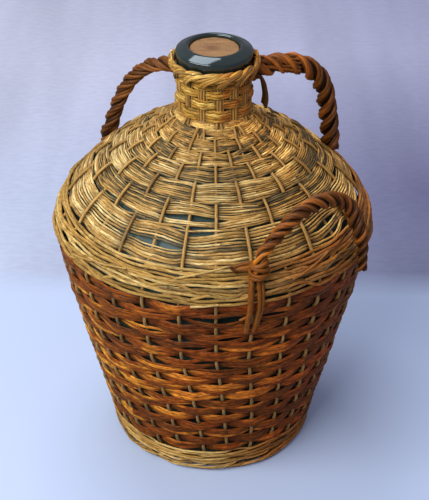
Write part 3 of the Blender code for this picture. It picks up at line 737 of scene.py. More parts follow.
def straw_willow():
    """Split willow of the twisted border: the collar's yellow, glossier, with painted shade that darkens it
    underneath and to the right.
    """
    return willow(
        "split straw willow", "#eecb74", colours().golden, "#3c1a04", 0.36, 0.42,
        right_painted_light=(1.0, 0.6, 0.16), turned=0.28, deep=0.85, grain=3.0, gloss=0.25,
    )


def buff_willow():
    """Willow boiled in its bark before it is peeled: a red brown, with painted shade darkest to the right and
    painted light more golden to the left.
    """
    return willow(
        "boiled buff willow", "#de862c", colours().red, "#3c120a", 0.4, 0.34,
        right_painted_light=(0.56, 0.21, 0.2), deep=0.8, grain=4.2, gloss=0.15, far=(1.0, 1.45, 1.3),
    )


def stake_willow():
    """Old thick willow, with painted shade that dulls it on the body and to the right, and painted light that
    brightens it on the shoulder.
    """
    tints = (
        (0.0, (0.5, 0.53, 0.75)), (BULGE[1], (0.65, 0.62, 0.6)), (0.25, (1.15, 1.08, 0.8)),
        (NECK[1], (1.0, 0.85, 0.45)),
    )
    return willow(
        "old willow stakes", "#caa568", colours().stake, "#6b4c26", 0.5, zones=tints, right_painted_light=(0.9, 0.78, 0.55)
    )


def handle_willow():
    """Buff willow darkened by hands: lighter where the handles' feet meet the band, with painted shade to the
    right and a cooler painted light to the left.
    """
    tints = (
        (0.10, (2.0, 1.9, 0.9)), (0.262, (2.0, 1.9, 0.9)), (0.285, (0.9, 0.75, 0.65)),
        (0.33, (1.0, 0.94, 0.9)), (0.37, (1.25, 1.15, 1.1)),
    )
    return willow(
        "handled buff willow", "#c07a30", colours().rope, "#2a1406", 0.42, 0.4,
        zones=tints, right_painted_light=(0.92, 0.74, 0.6), deep=0.9, gloss=0.22, far=(0.92, 0.98, 1.2),
    )


FINISH_MAKERS = {
    "glass": dark_glass,
    "cork": cork_bark,
    "pale": pale_willow,
    "greyed": greyed_willow,
    "golden": golden_willow,
    "straw": straw_willow,
    "red": buff_willow,
    "stake": stake_willow,
    "rope": handle_willow,
}


def clear_selection():
    """Leaves nothing selected, so an operator acts on the new piece alone."""
    if bpy.context.object and bpy.context.object.mode != "OBJECT":
        bpy.ops.object.mode_set(mode="OBJECT")
    bpy.ops.object.select_all(action="DESELECT")


def spun(name, profile, steps, material):
    """A profile of radius and height, spun about the bottle's axis."""
    clear_selection()
    data = bpy.data.meshes.new(name)
    data.from_pydata([(r, 0.0, z) for r, z in profile], [(i, i + 1) for i in range(len(profile) - 1)], [])
    made = in_scene(name, data)
    bpy.context.view_layer.objects.active = made
    made.select_set(True)
    bpy.ops.object.mode_set(mode="EDIT")
    bpy.ops.mesh.select_all(action="SELECT")
    bpy.ops.mesh.spin(steps=steps, angle=2 * math.pi, center=(0, 0, 0), axis=(0, 0, 1))
    bpy.ops.mesh.select_all(action="SELECT")
    bpy.ops.mesh.remove_doubles(threshold=0.00002)
    bpy.ops.mesh.normals_make_consistent(inside=False)
    bpy.ops.object.mode_set(mode="OBJECT")
    data.materials.append(material)
    bpy.ops.object.shade_smooth_by_angle(angle=math.radians(50))
    return made


def rounded(corner, before, after, radius, count=5, pull=0.45):
    """Points of a round corner between two neighbours; pull draws it in from the corner."""
    corner, before, after = (np.array(place, float) for place in (corner, before, after))
    first, last = (corner + radius * unit(side - corner) for side in (before, after))
    bow = bezier(first, corner + pull * (first - corner), corner + pull * (last - corner), last, count)
    return [tuple(place) for place in bow]


# The bottle's wall, the round of its heel, the height where its side leaves the heel, and the bore's low end
WALL = 0.0042
HEEL = 0.012
SIDE_LOW = 0.034
BORE_LOW = 0.37


class DEMIJOHN_OT_bottle(Operator):
    """The blown bottle: domed floor, flared side, wide mouth with a thick rounded lip"""

    bl_idname = "demijohn.bottle"
    bl_label = "Glass bottle"

    def execute(self, context):
        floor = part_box("glass_bottle")[0].z
        profile = self.inside(floor) + self.lip() + self.outside(floor)
        made = spun("blown_bottle", profile, steps=96, material=finish("glass"))
        keep(made, "dark_glass", "glass_bottle")
        return {"FINISHED"}

    def inside(self, floor):
        """The hollow, from the top of its domed floor up to the bore."""
        dome = ((0.0, 0.020), (0.030, 0.017), (0.058, 0.006), (0.072, 0.006))
        points = [(radius, floor + z) for radius, z in dome]
        side = [(radius - WALL, z) for radius, z in LINE[::6] if SIDE_LOW < z < NECK[1]]
        points += [(radius, z) for radius, z in side if radius > BORE]
        return points + [(BORE, NECK[1] + 0.004), (BORE, BORE_LOW)]

    def lip(self):
        """The thick lip: a narrow flat rim, a bevel, a ridge and a rounded underside."""
        inner_edge, brow, ridge, cheek = (BORE, MOUTH), (0.0250, MOUTH), (0.0330, 0.3922), (0.0327, 0.3830)
        points = rounded(inner_edge, (BORE, BORE_LOW), brow, 0.0020, 6)
        points += rounded(brow, inner_edge, ridge, 0.0008, 4)
        points += rounded(ridge, brow, cheek, 0.0010)
        return points + rounded((0.0322, LIP_LOW), cheek, (NECK[0], LIP_LOW), 0.0030)

    def outside(self, floor):
        """The neck and side, down to the heel and the dome under the floor."""
        points = [(NECK[0], LIP_LOW - 0.0004)]
        points += [tuple(place) for place in LINE[::-4] if SIDE_LOW < place[1] < LIP_LOW - 0.002]
        middle = float(np.interp(floor + HEEL, LINE[:, 1], LINE[:, 0])) - HEEL
        for turn in np.linspace(0, math.pi / 2, 7):
            points.append((middle + HEEL * math.cos(turn), floor + HEEL - HEEL * math.sin(turn)))
        return points + [(0.058, floor), (0.030, floor + 0.011), (0.0, floor + 0.014)]


class DEMIJOHN_OT_cork(Operator):
    """The cork, cut flat and a little uneven, pressed in under the rim"""

    bl_idname = "demijohn.cork"
    bl_label = "Cork"

    def execute(self, context):
        low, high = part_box("cork_bung")
        top = high.x
        taper = 0.0019
        clear_selection()
        bpy.ops.mesh.primitive_cone_add(
            vertices=72,
            radius1=top - taper,
            radius2=top,
            depth=high.z - low.z,
            location=(0, 0, (low.z + high.z) / 2),
        )
        made = context.object
        made.name = "cut_cork"
        bpy.ops.object.transform_apply(location=True, rotation=True, scale=True)
        bpy.ops.object.mode_set(mode="EDIT")
        bpy.ops.mesh.select_all(action="SELECT")
        bpy.ops.mesh.bevel(offset=0.0008, segments=2, affect="EDGES")
        bpy.ops.object.mode_set(mode="OBJECT")
        remesh = made.modifiers.new("Even", "REMESH")
        remesh.mode = "VOXEL"
        remesh.voxel_size = 0.0009
        bpy.ops.object.modifier_apply(modifier=remesh.name)
        self.roughen_top(made.data, high.z)
        made.data.shade_smooth()
        made.data.materials.clear()
        made.data.materials.append(finish("cork"))
        keep(made, "cork", "cork_bung", body=CORK_BODY)
        return {"FINISHED"}

    def roughen_top(self, data, top):
        """Cuts shallow waves into the flat top, and leaves the side, which the bore touches, as it is."""
        rng = random.Random(11)
        shifts = [rng.uniform(0, 9) for _ in range(3)]
        depth = 0.00012
        for vertex in data.vertices:
            x, y, z = vertex.co
            if z > top - 0.0006:
                wave = math.sin(520 * x + shifts[0]) * math.sin(410 * y + shifts[1])
                wave += 0.6 * math.sin(1400 * y + 300 * x + shifts[2])
                vertex.co.z -= depth * (1 + wave)


class DEMIJOHN_OT_base(Operator):
    """The base under the bottle: crossed sticks and four courses"""

    bl_idname = "demijohn.base"
    bl_label = "Base"

    # Thickness of the crossed sticks
    STICK = 0.0034

    def execute(self, context):
        rng = random.Random(3)
        stakes = casing().stakes
        low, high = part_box("base_sticks")
        middle = (low.z + high.z) / 2
        reach = max(high.x, high.y) - 0.0002
        sticks = Rods()
        for number in range(stakes // 4):
            azimuth = casing().phase + math.pi * number / (stakes // 4)
            route = round_axis(np.linspace(-reach, reach, 9), azimuth, middle)
            sticks.add(route, UP, self.STICK / 2, rng.random())
        keep(sticks.piece("base_cross", finish("stake")), "stake_willow", "base_sticks")
        for course in range(4):
            inner, outer = self.ring(f"base_row_{course + 1:02d}")
            rods = Rods(sides=6)
            count = 4
            thick = (outer - inner) / count
            for number in range(count):
                turns = np.linspace(0, 2 * math.pi + 0.3, 150) + rng.uniform(0, 6)
                passed = (turns - casing().phase) / (2 * math.pi) * (stakes // 2)
                side = np.cos(math.pi * (passed + course + 1))
                height = middle + side * (self.STICK / 2 + thick / 2)
                route = round_axis(inner + (number + 0.5) * thick, turns, height)
                rods.add(route, UP, thick / 2 * 0.96, rng.random())
            keep_course(rods, "base", course, "pale", "pale_willow")
        return {"FINISHED"}

    def ring(self, node):
        """The inner and outer radius of a base course."""
        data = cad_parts[node].data
        radii = [math.hypot(v.co.x, v.co.y) for v in data.vertices]
        return min(radii), max(radii)


class DEMIJOHN_OT_foot(Operator):
    """The rolled foot border that the bottle stands on, and the wale above it"""

    bl_idname = "demijohn.foot"
    bl_label = "Foot border"

    def execute(self, context):
        rng = random.Random(5)
        rods = Rods()
        self.border(rng, rods)
        self.wale(rng, rods)
        keep(rods.piece("rolled_foot", finish("pale")), "pale_willow", "foot_border")
        return {"FINISHED"}

    def border(self, rng, rods):
        """Rods that wind twice through an oval roll on their way round the foot."""
        radius = casing().foot_radius
        height = casing().foot_height
        half_width = 0.0070
        rod = 0.0014
        turns = np.linspace(0, 2 * math.pi, 421)
        count = 15
        for number in range(count):
            swirl = 2 * turns + number / count * 2 * math.pi + wander(rng, turns, 0.9, (2, 5, 9))
            reach = radius + half_width * np.cos(swirl) + wander(rng, turns, 0.0010, (3, 7, 12))
            route = round_axis(reach, turns, height / 2 + (height / 2 - rod) * np.sin(swirl))
            out = round_axis(np.cos(swirl), turns, np.sin(swirl))
            shade = 0.55 + 0.45 * np.sin(7 * swirl + number) ** 2
            rods.add(route, out, 0.0011 * rng.uniform(0.6, 1.1), self.worn(rng, turns), shade, caps=False)

    def worn(self, rng, turns, share=0.0):
        """Random tones along a rod of the foot, with painted light that keeps them palest at the front and
        painted shade that browns them at the right.
        """
        front = 0.5 - 0.5 * np.sin(turns)
        right = np.clip(np.cos(turns), 0, 1)
        return np.clip(rng.uniform(0.0, 1.3) - share * (1 - front**3) - 0.45 * right, 0, 1)

    def wale(self, rng, rods):
        """Rods worked round the feet of the stakes, over three and under one."""
        count = 7
        edges = split(at_height(0.0120), WALE_TOP, count)
        outer = 2.5 * casing().rod + 3 * GAP
        for number in range(count):
            middle = (edges[number] + edges[number + 1]) / 2
            turns = np.linspace(0, 2 * math.pi, 9 * casing().stakes) + rng.uniform(0, 6)
            stand = (turns - casing().phase) / spacing()
            dip = np.clip(np.cos(2 * math.pi * (stand + number) / 4) * 3 - 2, 0, 1)
            offset = outer - dip * 0.7 * casing().rod + wander(rng, turns, 0.0005, (5, 13))
            length = middle + wander(rng, turns, 0.0014, (3, 8, 17))
            route, outward = on_casing(length, turns, offset)
            tone = self.worn(rng, turns, 0.9 * number / count)
            rods.add(route, outward, 0.0010 * rng.uniform(0.8, 1.1), tone, 1 - 0.6 * dip)


class DEMIJOHN_OT_stakes(Operator):
    """The twenty-eight stakes"""

    bl_idname = "demijohn.stakes"
    bl_label = "Stakes"

    def execute(self, context):
        rng = random.Random(7)
        rods = Rods()
        body = split(WALE_TOP, BAND_LOW, casing().body_courses)
        courses = [*zip(body, body[1:]), *zip(shoulder_edges(), shoulder_edges()[1:])]
        single = len(courses) - casing().paired_courses
        length = np.linspace(at_height(0.0135), COLLAR_END, 360)
        fading = np.clip((NECK_ROOT - length) / 0.05, 0, 1)
        for index in range(casing().stakes):
            azimuth = stake_azimuth(index, length)
            sway = 0.0045 * np.sin(length * 31 + rng.uniform(0, 6)) * fading
            offset = weave_offset(length)
            # Each stake gives way a little to the rods that pass in front of it or behind it
            for number, (below, above) in enumerate(courses):
                course = number if number < casing().body_courses else number - casing().body_courses
                stand = index if number < single else (index + 1) // 2
                bend = -1 if (stand + course) % 2 else 1
                within = np.clip((length - below) / (above - below), 0, 1)
                offset = offset + bend * 0.4 * rod_at(length) * np.sin(math.pi * within)
            thick = rod_at(length) / 2 * rng.uniform(0.9, 1.05)
            route, outward = on_casing(length, azimuth + sway, offset)
            rods.add(route, outward, thick, rng.random())
        self.neck_stakes(rods, rng)
        keep(rods.piece("upright_stakes", finish("stake")), "stake_willow", "stake_frame")
        return {"FINISHED"}

    def neck_stakes(self, rods, rng):
        """Shorter stakes pushed in beside each pair at the neck."""
        start = shoulder_edges()[-3]
        length = np.linspace(start, COLLAR_END, 40)
        reach = 1.55 * casing().bundle / (NECK[0] + middle_offset(NECK_ROOT))
        for pair in range(casing().stakes // 2):
            for side in (-1, 1):
                turn = side * reach * np.clip((length - start) / 0.01, 0.3, 1)
                route, outward = on_casing(length, pair_azimuth(pair) + turn, middle_offset(length))
                rods.add(route, outward, rod_at(length) / 2, rng.random())


# Places where the body's rods stand apart: course, azimuth and half width in degrees, share of width, gap
BODY_GAPS = (
    (16, -87, 12, 0.10, 0.0075),
    (17, -104, 7, 0.34, 0.0040),
    (16, -68, 6, 0.20, 0.0040),
    (14, -83, 6, 0.10, 0.0036),
    (14, -112, 6, 0.33, 0.0036),
    (13, -97, 6, -0.10, 0.0036),
    (11, -91, 8, 0.10, 0.0036),
)
# How many rods the packs of the body's courses have, in turn
BODY_RODS = (3, 3, 2, 3, 4)


class DEMIJOHN_OT_body_weave(Operator):
    """The red-brown courses of the body"""

    bl_idname = "demijohn.body_weave"
    bl_label = "Body courses"

    def execute(self, context):
        rng = random.Random(17)
        edges = split(WALE_TOP, BAND_LOW, casing().body_courses)
        for course in range(casing().body_courses):
            rods = Rods()
            low, high = edges[course : course + 2]
            count = BODY_RODS[course % len(BODY_RODS)]
            gaps = course_gaps(BODY_GAPS, course)
            woven_course(rods, rng, low, high, course, count, BODY_STYLE, gaps=gaps)
            keep_course(rods, "body", course, "red", "red_willow")
        return {"FINISHED"}


# Loose rods across the band: azimuth from and to in degrees, height over the band's lower edge from and to
STRAY_RODS = (
    (-103, -85, 0.0185, 0.0290),
    (-106, -96, 0.0230, 0.0215),
    (-97, -88, 0.0008, 0.0022),
    (-134, -121, 0.0120, 0.0170),
    (-146, -133, 0.0060, 0.0130),
    (-62, -45, 0.0120, 0.0200),
    (-20, 4, 0.0110, 0.0190),
    (60, 85, 0.0230, 0.0150),
    (140, 165, 0.0080, 0.0180),
)


class DEMIJOHN_OT_band(Operator):
    """The wale of pale rods round the bulge"""

    bl_idname = "demijohn.band"
    bl_label = "Pale band"

    def execute(self, context):
        rng = random.Random(23)
        rods = Rods()
        self.wale(rng, rods)
        self.strays(rng, rods)
        keep(rods.piece("pale_wale", finish("pale")), "pale_willow", "pale_band")
        return {"FINISHED"}

    def wale(self, rng, rods):
        """Rods side by side that dip behind every fourth stake, and four more that cross them."""
        count = casing().band_rods
        edges = split(BAND_LOW, BAND_TOP, count)
        thick = (edges[1] - edges[0]) * 0.95
        outer = 2.5 * casing().rod + 3 * GAP + 0.0002
        for number in range(count + 4):
            if number < count:
                middle, stray = (edges[number] + edges[number + 1]) / 2, 0.0015
            else:
                middle, stray = rng.uniform(edges[1], edges[-2]), 0.006
            for start, end in arcs(rng, 2):
                turns = along_arc(start, end, per_stake=8)
                stand = (turns - casing().phase) / spacing()
                dip = np.clip(np.cos(2 * math.pi * (stand + number * 1.5) / 4) * 2.5 - 1.5, 0, 1)
                length = middle + wander(rng, turns, stray, (3, 7, 13, 22))
                length = np.clip(length, edges[0] + thick / 2, edges[-1] - thick / 2)
                offset = outer - 0.0014 * dip + wander(rng, turns, 0.0010, (5, 11, 23))
                route, outward = on_casing(length, turns, offset)
                radius = thick / 2 * np.linspace(1.08, 0.85, len(turns)) * rng.uniform(0.85, 1.1)
                rods.add(route, outward, radius, rng.random(), 1 - 0.6 * dip)

    def strays(self, rng, rods):
        """Single rods that lie loose over the wale."""
        count = 40
        rise = 0.0006 + 0.0012 * np.sin(np.linspace(0, math.pi, count))
        for start, end, low, high in STRAY_RODS:
            turns = np.radians(np.linspace(start, end, count))
            length = np.linspace(BAND_LOW + low, BAND_LOW + high, count) + wander(rng, turns, 0.0004, (9, 21))
            route, outward = on_casing(length, turns, outer_offset(0.0) + rise)
            rods.add(route, outward, np.linspace(0.0011, 0.0007, count), rng.uniform(0.5, 1.0))


# Places where the thin rods stand apart and the glass shows, in the same way
SHOULDER_GAPS = (
    (1, -100, 18, -0.13, 0.0052),
    (1, -99, 12, -0.45, 0.0030),
    (0, -99, 12, 0.40, 0.0034),
    (0, -112, 10, 0.02, 0.0040),
    (0, -122, 9, 0.04, 0.0020),
    (1, -134, 8, -0.40, 0.0024),
    (1, -147, 7, -0.36, 0.0020),
    (0, -38, 9, -0.12, 0.0034),
    (0, -36, 7, -0.30, 0.0030),
    (4, -60, 9, 0.2, 0.0018),
    (6, -98, 12, -0.1, 0.0018),
)
# The width that a rod takes in the shoulder's first course, in its other courses and in the collar
FIRST_ROD = 0.0026
SHOULDER_ROD = 0.0019
COLLAR_ROD = 0.0027


class DEMIJOHN_OT_shoulder_weave(Operator):
    """The courses of thin greyed rods over the shoulder"""

    bl_idname = "demijohn.shoulder_weave"
    bl_label = "Shoulder courses"

    def execute(self, context):
        rng = random.Random(29)
        edges = shoulder_edges()
        single = casing().shoulder_courses - casing().paired_courses
        for course in range(casing().shoulder_courses):
            rods = Rods(sides=6)
            low, high = edges[course : course + 2]
            count = max(4, round((high - low) / (SHOULDER_ROD if course else FIRST_ROD)))
            gaps = course_gaps(SHOULDER_GAPS, course)
            woven_course(rods, rng, low, high, course, count, SHOULDER_STYLE, course >= single, gaps)
            keep_course(rods, "shoulder", course, "greyed", "greyed_willow")
        return {"FINISHED"}


# Ends of stakes that stand up out of the border: azimuth in degrees, height of the tip, lean in radians
LOOSE_ENDS = (
    (-170, 0.3895, -0.05),
    (177, 0.3905, 0.06),
    (-3, 0.3900, 0.06),
    (3, 0.3890, 0.12),
    (-12, 0.3870, 0.02),
)


class DEMIJOHN_OT_collar(Operator):
    """The pale courses round the neck and the twisted border under the lip"""

    bl_idname = "demijohn.collar"
    bl_label = "Collar"

    def execute(self, context):
        rng = random.Random(31)
        edges = collar_edges()
        for course in range(casing().collar_courses):
            rods = Rods()
            low, high = edges[course : course + 2]
            count = max(3, round((high - low) / COLLAR_ROD))
            woven_course(rods, rng, low, high, course, count, COLLAR_STYLE, True)
            keep_course(rods, "collar", course, "golden", "neck_willow")
        rods = Rods()
        low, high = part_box("collar_border")
        radius = high.x - 0.0026
        self.twist(rng, rods, radius, (low.z + high.z) / 2)
        self.bent_stakes(rng, rods, radius, low.z, high.z)
        self.loose_ends(rods, radius, (low.z + high.z) / 2)
        keep(rods.piece("lip_border", finish("straw")), "neck_willow", "collar_border")
        return {"FINISHED"}

    def twist(self, rng, rods, radius, middle):
        """Two strands of three rods, wound seven times round each other on their way round the lip."""
        turns = np.linspace(0, 2 * math.pi, 281)
        for number in range(6):
            strand, rod = number // 3, number % 3 - 1
            swirl = 7 * turns + strand * math.pi + rod * 0.55 + wander(rng, turns, 0.8, (2, 5))
            reach = radius + 0.0004 + 0.0015 * np.cos(swirl) + wander(rng, turns, 0.0003)
            level = middle + 0.0008 + 0.0032 * np.sin(swirl) + wander(rng, turns, 0.0006, (2, 5, 9))
            shade = np.clip(0.5 + 0.6 * np.cos(swirl) + 0.2 * np.sin(swirl), 0.05, 1)
            thick = 0.0013 * rng.uniform(0.9, 1.1)
            route = round_axis(reach, turns, level)
            rods.add(route, straight_out(turns), thick, rng.uniform(0.6, 1.0), shade, caps=False)

    def bent_stakes(self, rng, rods, radius, low, high):
        """Three rods from each pair of stakes, bent down to one side over the twist."""
        t = np.linspace(0, 1, 18)
        for pair in range(casing().stakes // 2):
            reach = rng.uniform(0.55, 0.95)
            for strand in range(3):
                turn = pair_azimuth(pair) + (strand - 1) * 0.055 + reach * t**1.5
                rise = rng.uniform(0.0005, 0.0022)
                level = low - 0.0040 + (high - low + rise) * np.sin(t * math.pi * rng.uniform(0.60, 0.72))
                out = radius - 0.0010 + 0.0028 * np.sin(t * math.pi) + 0.0005 * strand
                shade = 0.25 + 0.75 * np.sin(t * math.pi) ** 0.5
                thick = 0.0011 * rng.uniform(0.85, 1.15)
                rods.add(round_axis(out, turn, level), straight_out(turn), thick, rng.random(), shade)

    def loose_ends(self, rods, radius, middle):
        """Stake ends that nobody trimmed."""
        t = np.linspace(0, 1, 10)
        for azimuth, top, leant in LOOSE_ENDS:
            turn = math.radians(azimuth) + leant * t
            route = round_axis(radius + 0.0008 * t, turn, middle + (top - middle) * t)
            rods.add(route, straight_out(turn[0]), 0.0011 - 0.0003 * t, 1.0)


def frames_along(route):
    """Directions along a route and two across it, carried along without a twist."""
    along = unit(np.gradient(route, axis=0))
    across = np.cross(along[0], UP)
    if np.linalg.norm(across) < 0.1:
        across = np.cross(along[0], (1.0, 0.0, 0.0))
    across = unit(across)
    firsts = []
    for direction in along:
        across = unit(across - across.dot(direction) * direction)
        firsts.append(across)
    firsts = np.array(firsts)
    return along, firsts, np.cross(along, firsts)


def turned_about(first, second, turn):
    """Directions at angles from a first one towards a second."""
    return np.cos(turn)[:, None] * first + np.sin(turn)[:, None] * second


def resampled(route, step):
    """The route's points at even steps, and how far along it they lie."""
    run = run_along(route)
    even = np.linspace(0, run[-1], max(8, int(run[-1] / step)))
    return np.stack([np.interp(even, run, route[:, i]) for i in range(3)], axis=1), even


def rope(rods, rng, route, diameter, rods_each, pitch, swell, relief=0.53, tones=(0.5, 0.5), strands=3):
    """A rope of strands twisted round each other, each strand a few rods laid side by side.

    Swell gives places along the rope and its thickness there, and relief is a strand's share of it."""
    route, run = resampled(route, diameter * 0.12)
    along, first, second = frames_along(route)
    strand_radius = relief * diameter / 2
    helix = diameter / 2 - strand_radius
    swell = np.interp(run / run[-1], *swell)
    thick = strand_radius * math.pi / rods_each * 0.62
    tone = np.interp(run / run[-1], (0, 1), tones)
    for strand in range(strands):
        turn = 2 * math.pi * run / pitch + strand * 2 * math.pi / strands
        out = turned_about(first, second, turn)
        side = np.cross(along, out)
        core = route + out * (helix * swell)[:, None]
        strand_tone = tone + rng.uniform(-0.1, 0.1)
        for number in range(rods_each):
            spin = turn * 0.25 + number * 2 * math.pi / rods_each + wander(rng, run * 40, 0.5, (1, 2, 4))
            around = turned_about(out, side, spin)
            places = core + around * ((strand_radius - thick) * swell)[:, None]
            shift = rng.uniform(-0.3, 0.3) + wander(rng, run * 60, 0.25, (1, 2, 5))
            shade = np.clip(0.15 + 1.1 * np.cos(spin), 0, 1)
            radius = thick * swell * rng.uniform(0.85, 1.15)
            rods.add(places, around, radius, np.clip(strand_tone + shift, 0, 1), shade)


def neck_bow(azimuth, foot_length, reach, lift, rise, slant):
    """The route of a carrying handle from the collar down to the shoulder.

    It leaves the collar with a handle of reach and lift, and meets its foot with one of rise and slant."""
    height = COLLAR_TOP - 0.009
    sink = 0.006
    start = np.array([NECK[0] + outer_offset(at_height(height)) + GAP - sink, height])
    length = BAND_TOP + foot_length
    places, _ = on_casing(length, 0.0, outer_offset(length) + GAP)
    end = places[[0, 2]] + sink * np.array([math.sin(SIDE_FLARE), -1.0])
    bow = bezier(start, start + (reach, lift), end + rise * np.array([-slant, 1.0]), end, 60)
    return round_axis(bow[:, 0], azimuth, bow[:, 1])


class DEMIJOHN_OT_neck_handles(Operator):
    """The two twisted carrying handles and the tail of the thick one"""

    bl_idname = "demijohn.neck_handles"
    bl_label = "Carrying handles"

    def execute(self, context):
        rng = random.Random(37)
        sizes = handles()
        right = Rods()
        route = neck_bow(math.radians(25), 0.0212, reach=0.085, lift=0.007, rise=0.068, slant=0.13)
        swell = ((0, 0.15, 1), (1.2, 1.0, 0.95))
        rope(right, rng, route, sizes.right_rope, 5, 0.046, swell, tones=(0.7, 0.25))
        self.root(rng, right, route)
        keep(right.piece("thick_rope_handle", finish("rope")), "handle_willow", "right_neck_handle")
        left = Rods()
        route = neck_bow(math.radians(148), 0.0252, reach=0.058, lift=0.006, rise=0.040, slant=0.25)
        swell = ((0, 0.8, 1), (1.0, 1.0, 1.3))
        rope(left, rng, route, sizes.left_rope, 5, 0.050, swell, relief=0.60, tones=(0.5, 0.45))
        keep(left.piece("thin_rope_handle", finish("rope")), "handle_willow", "left_neck_handle")
        self.tail(rng)
        return {"FINISHED"}

    def root(self, rng, rods, route):
        """Rods that spread from the thick handle into the collar."""
        count = 14
        fan = 0.0080
        for number in range(count):
            turn = math.radians(25 + rng.uniform(-12, 12))
            start = round_axis(0.0335, turn, 0.3590 + 0.0200 * number / (count - 1))
            around = 2 * math.pi * number / count
            spread = np.array([-0.42 * math.cos(around), 0.9 * math.cos(around), math.sin(around)])
            end = route[16] + fan * spread
            leave = start + 0.012 * straight_out(turn)
            bow = bezier(start, leave, end - 0.9 * (route[20] - route[10]), end, 16)
            t = np.linspace(0, 1, len(bow))
            rods.add(bow, UP, 0.0015 - 0.0004 * t, rng.uniform(0.2, 0.9), 0.4 + 0.6 * t)

    def tail(self, rng):
        """Rod ends of the thick handle, turned down beside the collar."""
        rods = Rods()
        for number in range(4):
            azimuth = math.radians(15) + (number - 1.5) * 0.075
            bow = smooth_route([round_axis(radius, azimuth, z) for radius, z in TAIL_ROUTE], 6)
            rods.add(bow, straight_out(azimuth), 0.0014, 0.3 * rng.random(), 0.8)
        keep(rods.piece("handle_tail", finish("rope")), "handle_willow", "right_handle_tail")


def smooth_route(places, per_span):
    """A smooth curve through its named points."""
    given = [np.array(place, float) for place in places]
    ends = [2 * given[0] - given[1]] + given + [2 * given[-1] - given[-2]]
    route = [given[0][None, :]]
    for before, here, after, beyond in zip(ends, ends[1:], ends[2:], ends[3:]):
        leave, arrive = here + (after - before) / 6, after - (beyond - here) / 6
        route.append(bezier(here, leave, arrive, after, per_span)[1:])
    return np.concatenate(route)


# The thick handle's tail: radius and height
TAIL_ROUTE = ((0.035, 0.3665), (0.0425, 0.360), (0.0455, 0.350), (0.0465, 0.341), (0.0455, 0.3335))

# The hoop's middle line: azimuth in degrees, height over the bulge and reach out of the casing
HOOP_ROUTE = (
    (-75.0, 0.008, -0.0015),
    (-74.3, 0.040, -0.0040),
    (-71.3, 0.050, -0.0080),
    (-64.9, 0.0625, -0.0110),
    (-55.8, 0.073, -0.0135),
    (-42.5, 0.0722, -0.0120),
    (-34.8, 0.0574, -0.0055),
    (-34.0, 0.040, 0.0030),
    (-32.6, 0.021, 0.0060),
    (-31.5, -0.005, 0.0062),
)
# How thick the hoop is, as places along it and shares of its thickness
HOOP_SWELL = ((0, 0.08, 0.22, 0.45, 0.76, 0.86, 1), (0.66, 0.72, 0.82, 0.96, 1.0, 0.72, 0.6))
# Turns of the wrap: place along the hoop, tilt, and radius as a share of the hoop's thickness
WRAP_TURNS = (
    (0.0195, 0.0016, 0.34),
    (0.0235, -0.0010, 0.40),
    (0.0275, 0.0012, 0.36),
    (0.0310, -0.0020, 0.30),
)


class DEMIJOHN_OT_tipping_handle(Operator):
    """The tipping hoop, the wrap round its left foot and the rods that run down from it"""

    bl_idname = "demijohn.tipping_handle"
    bl_label = "Tipping hoop"

    def execute(self, context):
        rng = random.Random(41)
        bulge = BULGE[0] + outer_offset(0.0)
        places = []
        for azimuth, height, reach in HOOP_ROUTE:
            places.append(round_axis(bulge + reach, math.radians(azimuth), BULGE[1] + height))
        route = smooth_route(places, 6)
        rods = Rods()
        # The hoop's tone falls from its left foot to its right end, a painted shade on the part turned away
        # from the light
        rope(rods, rng, route[4:], handles().hoop_rope, 4, 0.032, HOOP_SWELL, relief=0.49, tones=(1.1, 0.0))
        keep(rods.piece("rope_hoop", finish("rope")), "handle_willow", "tipping_handle")
        self.wrap(rng, route)
        self.legs()
        return {"FINISHED"}

    def wrap(self, rng, route):
        """Turns of one rod round the hoop's left foot."""
        foot = route[0]
        along = unit(route[6] - foot)
        first = unit(np.cross(along, UP))
        second = np.cross(along, first)
        rods = Rods()
        rod = handles().wrap_rod
        turn = np.linspace(0, 1, 40) * 2 * math.pi
        out = turned_about(first, second, turn)
        for loop, (start, tilt, width) in enumerate(WRAP_TURNS):
            centre = foot + along * (start + tilt * np.cos(turn + loop))[:, None]
            places = centre + out * (handles().hoop_rope * width + rod * 0.3)
            rods.add(places, out, rod / 2 * rng.uniform(0.85, 1.1), rng.uniform(0.3, 0.75), caps=False)
        self.spur(rods)
        keep(rods.piece("hoop_wrap", finish("rope")), "handle_willow", "tipping_handle_wrap")

    def spur(self, rods):
        """Ends of the wrap that are tucked under the band beside it, with painted shade where they go under,
        and a knot dark in tone and in painted shade.
        """
        outer = outer_offset(0.0) + GAP
        t = np.linspace(0, 1, 20)
        for level, rise, tone in ((0.0296, -0.0016, 0.4), (0.0262, -0.0004, 0.7), (0.0238, 0.0014, 0.3)):
            turn = np.radians(-74.5 - 8.5 * t)
            length = BAND_LOW + level + rise * t + 0.0012 * np.sin(math.pi * t)
            route, outward = on_casing(length, turn, outer + 0.0040 - 0.0034 * t)
            rods.add(route, outward, 0.0020 - 0.0006 * t, tone, 1.0 - 0.4 * t)
        t = np.linspace(0, 1, 14)
        for number in range(5):
            turn = np.radians(-81.6 - 0.3 * number - 1.2 * np.cos(math.pi * 1.4 * t + number))
            length = BAND_LOW + 0.0268 + 0.0017 * np.sin(math.pi * 1.7 * t + number * 1.3)
            route, outward = on_casing(length, turn, outer + 0.0006 + 0.0004 * number)
            rods.add(route, outward, 0.0011, 0.1 * number, 0.25)

    def legs(self):
        """Rods that run down over the casing below the hoop's foot, some side by side."""
        t = np.linspace(0, 1, 30)
        radius = 0.145
        for number, strands in enumerate(LEG_RODS, start=1):
            rods = Rods()
            for start, end, bow, length_from, length_to, thick, tone in strands:
                length = BAND_LOW + length_from + (length_to - length_from) * t
                across = start + (end - start) * t + bow * np.sin(math.pi * t)
                turn = math.radians(-75) + across / radius
                route, outward = on_casing(length, turn, outer_offset(0.0) + GAP + thick / 2 - 0.001 * t)
                rods.add(route, outward, thick / 2 * (1.05 - 0.15 * t), tone)
            piece = rods.piece(f"hoop_leg_{number}", finish("rope"))
            keep(piece, "handle_willow", f"tipping_handle_leg_{number}")


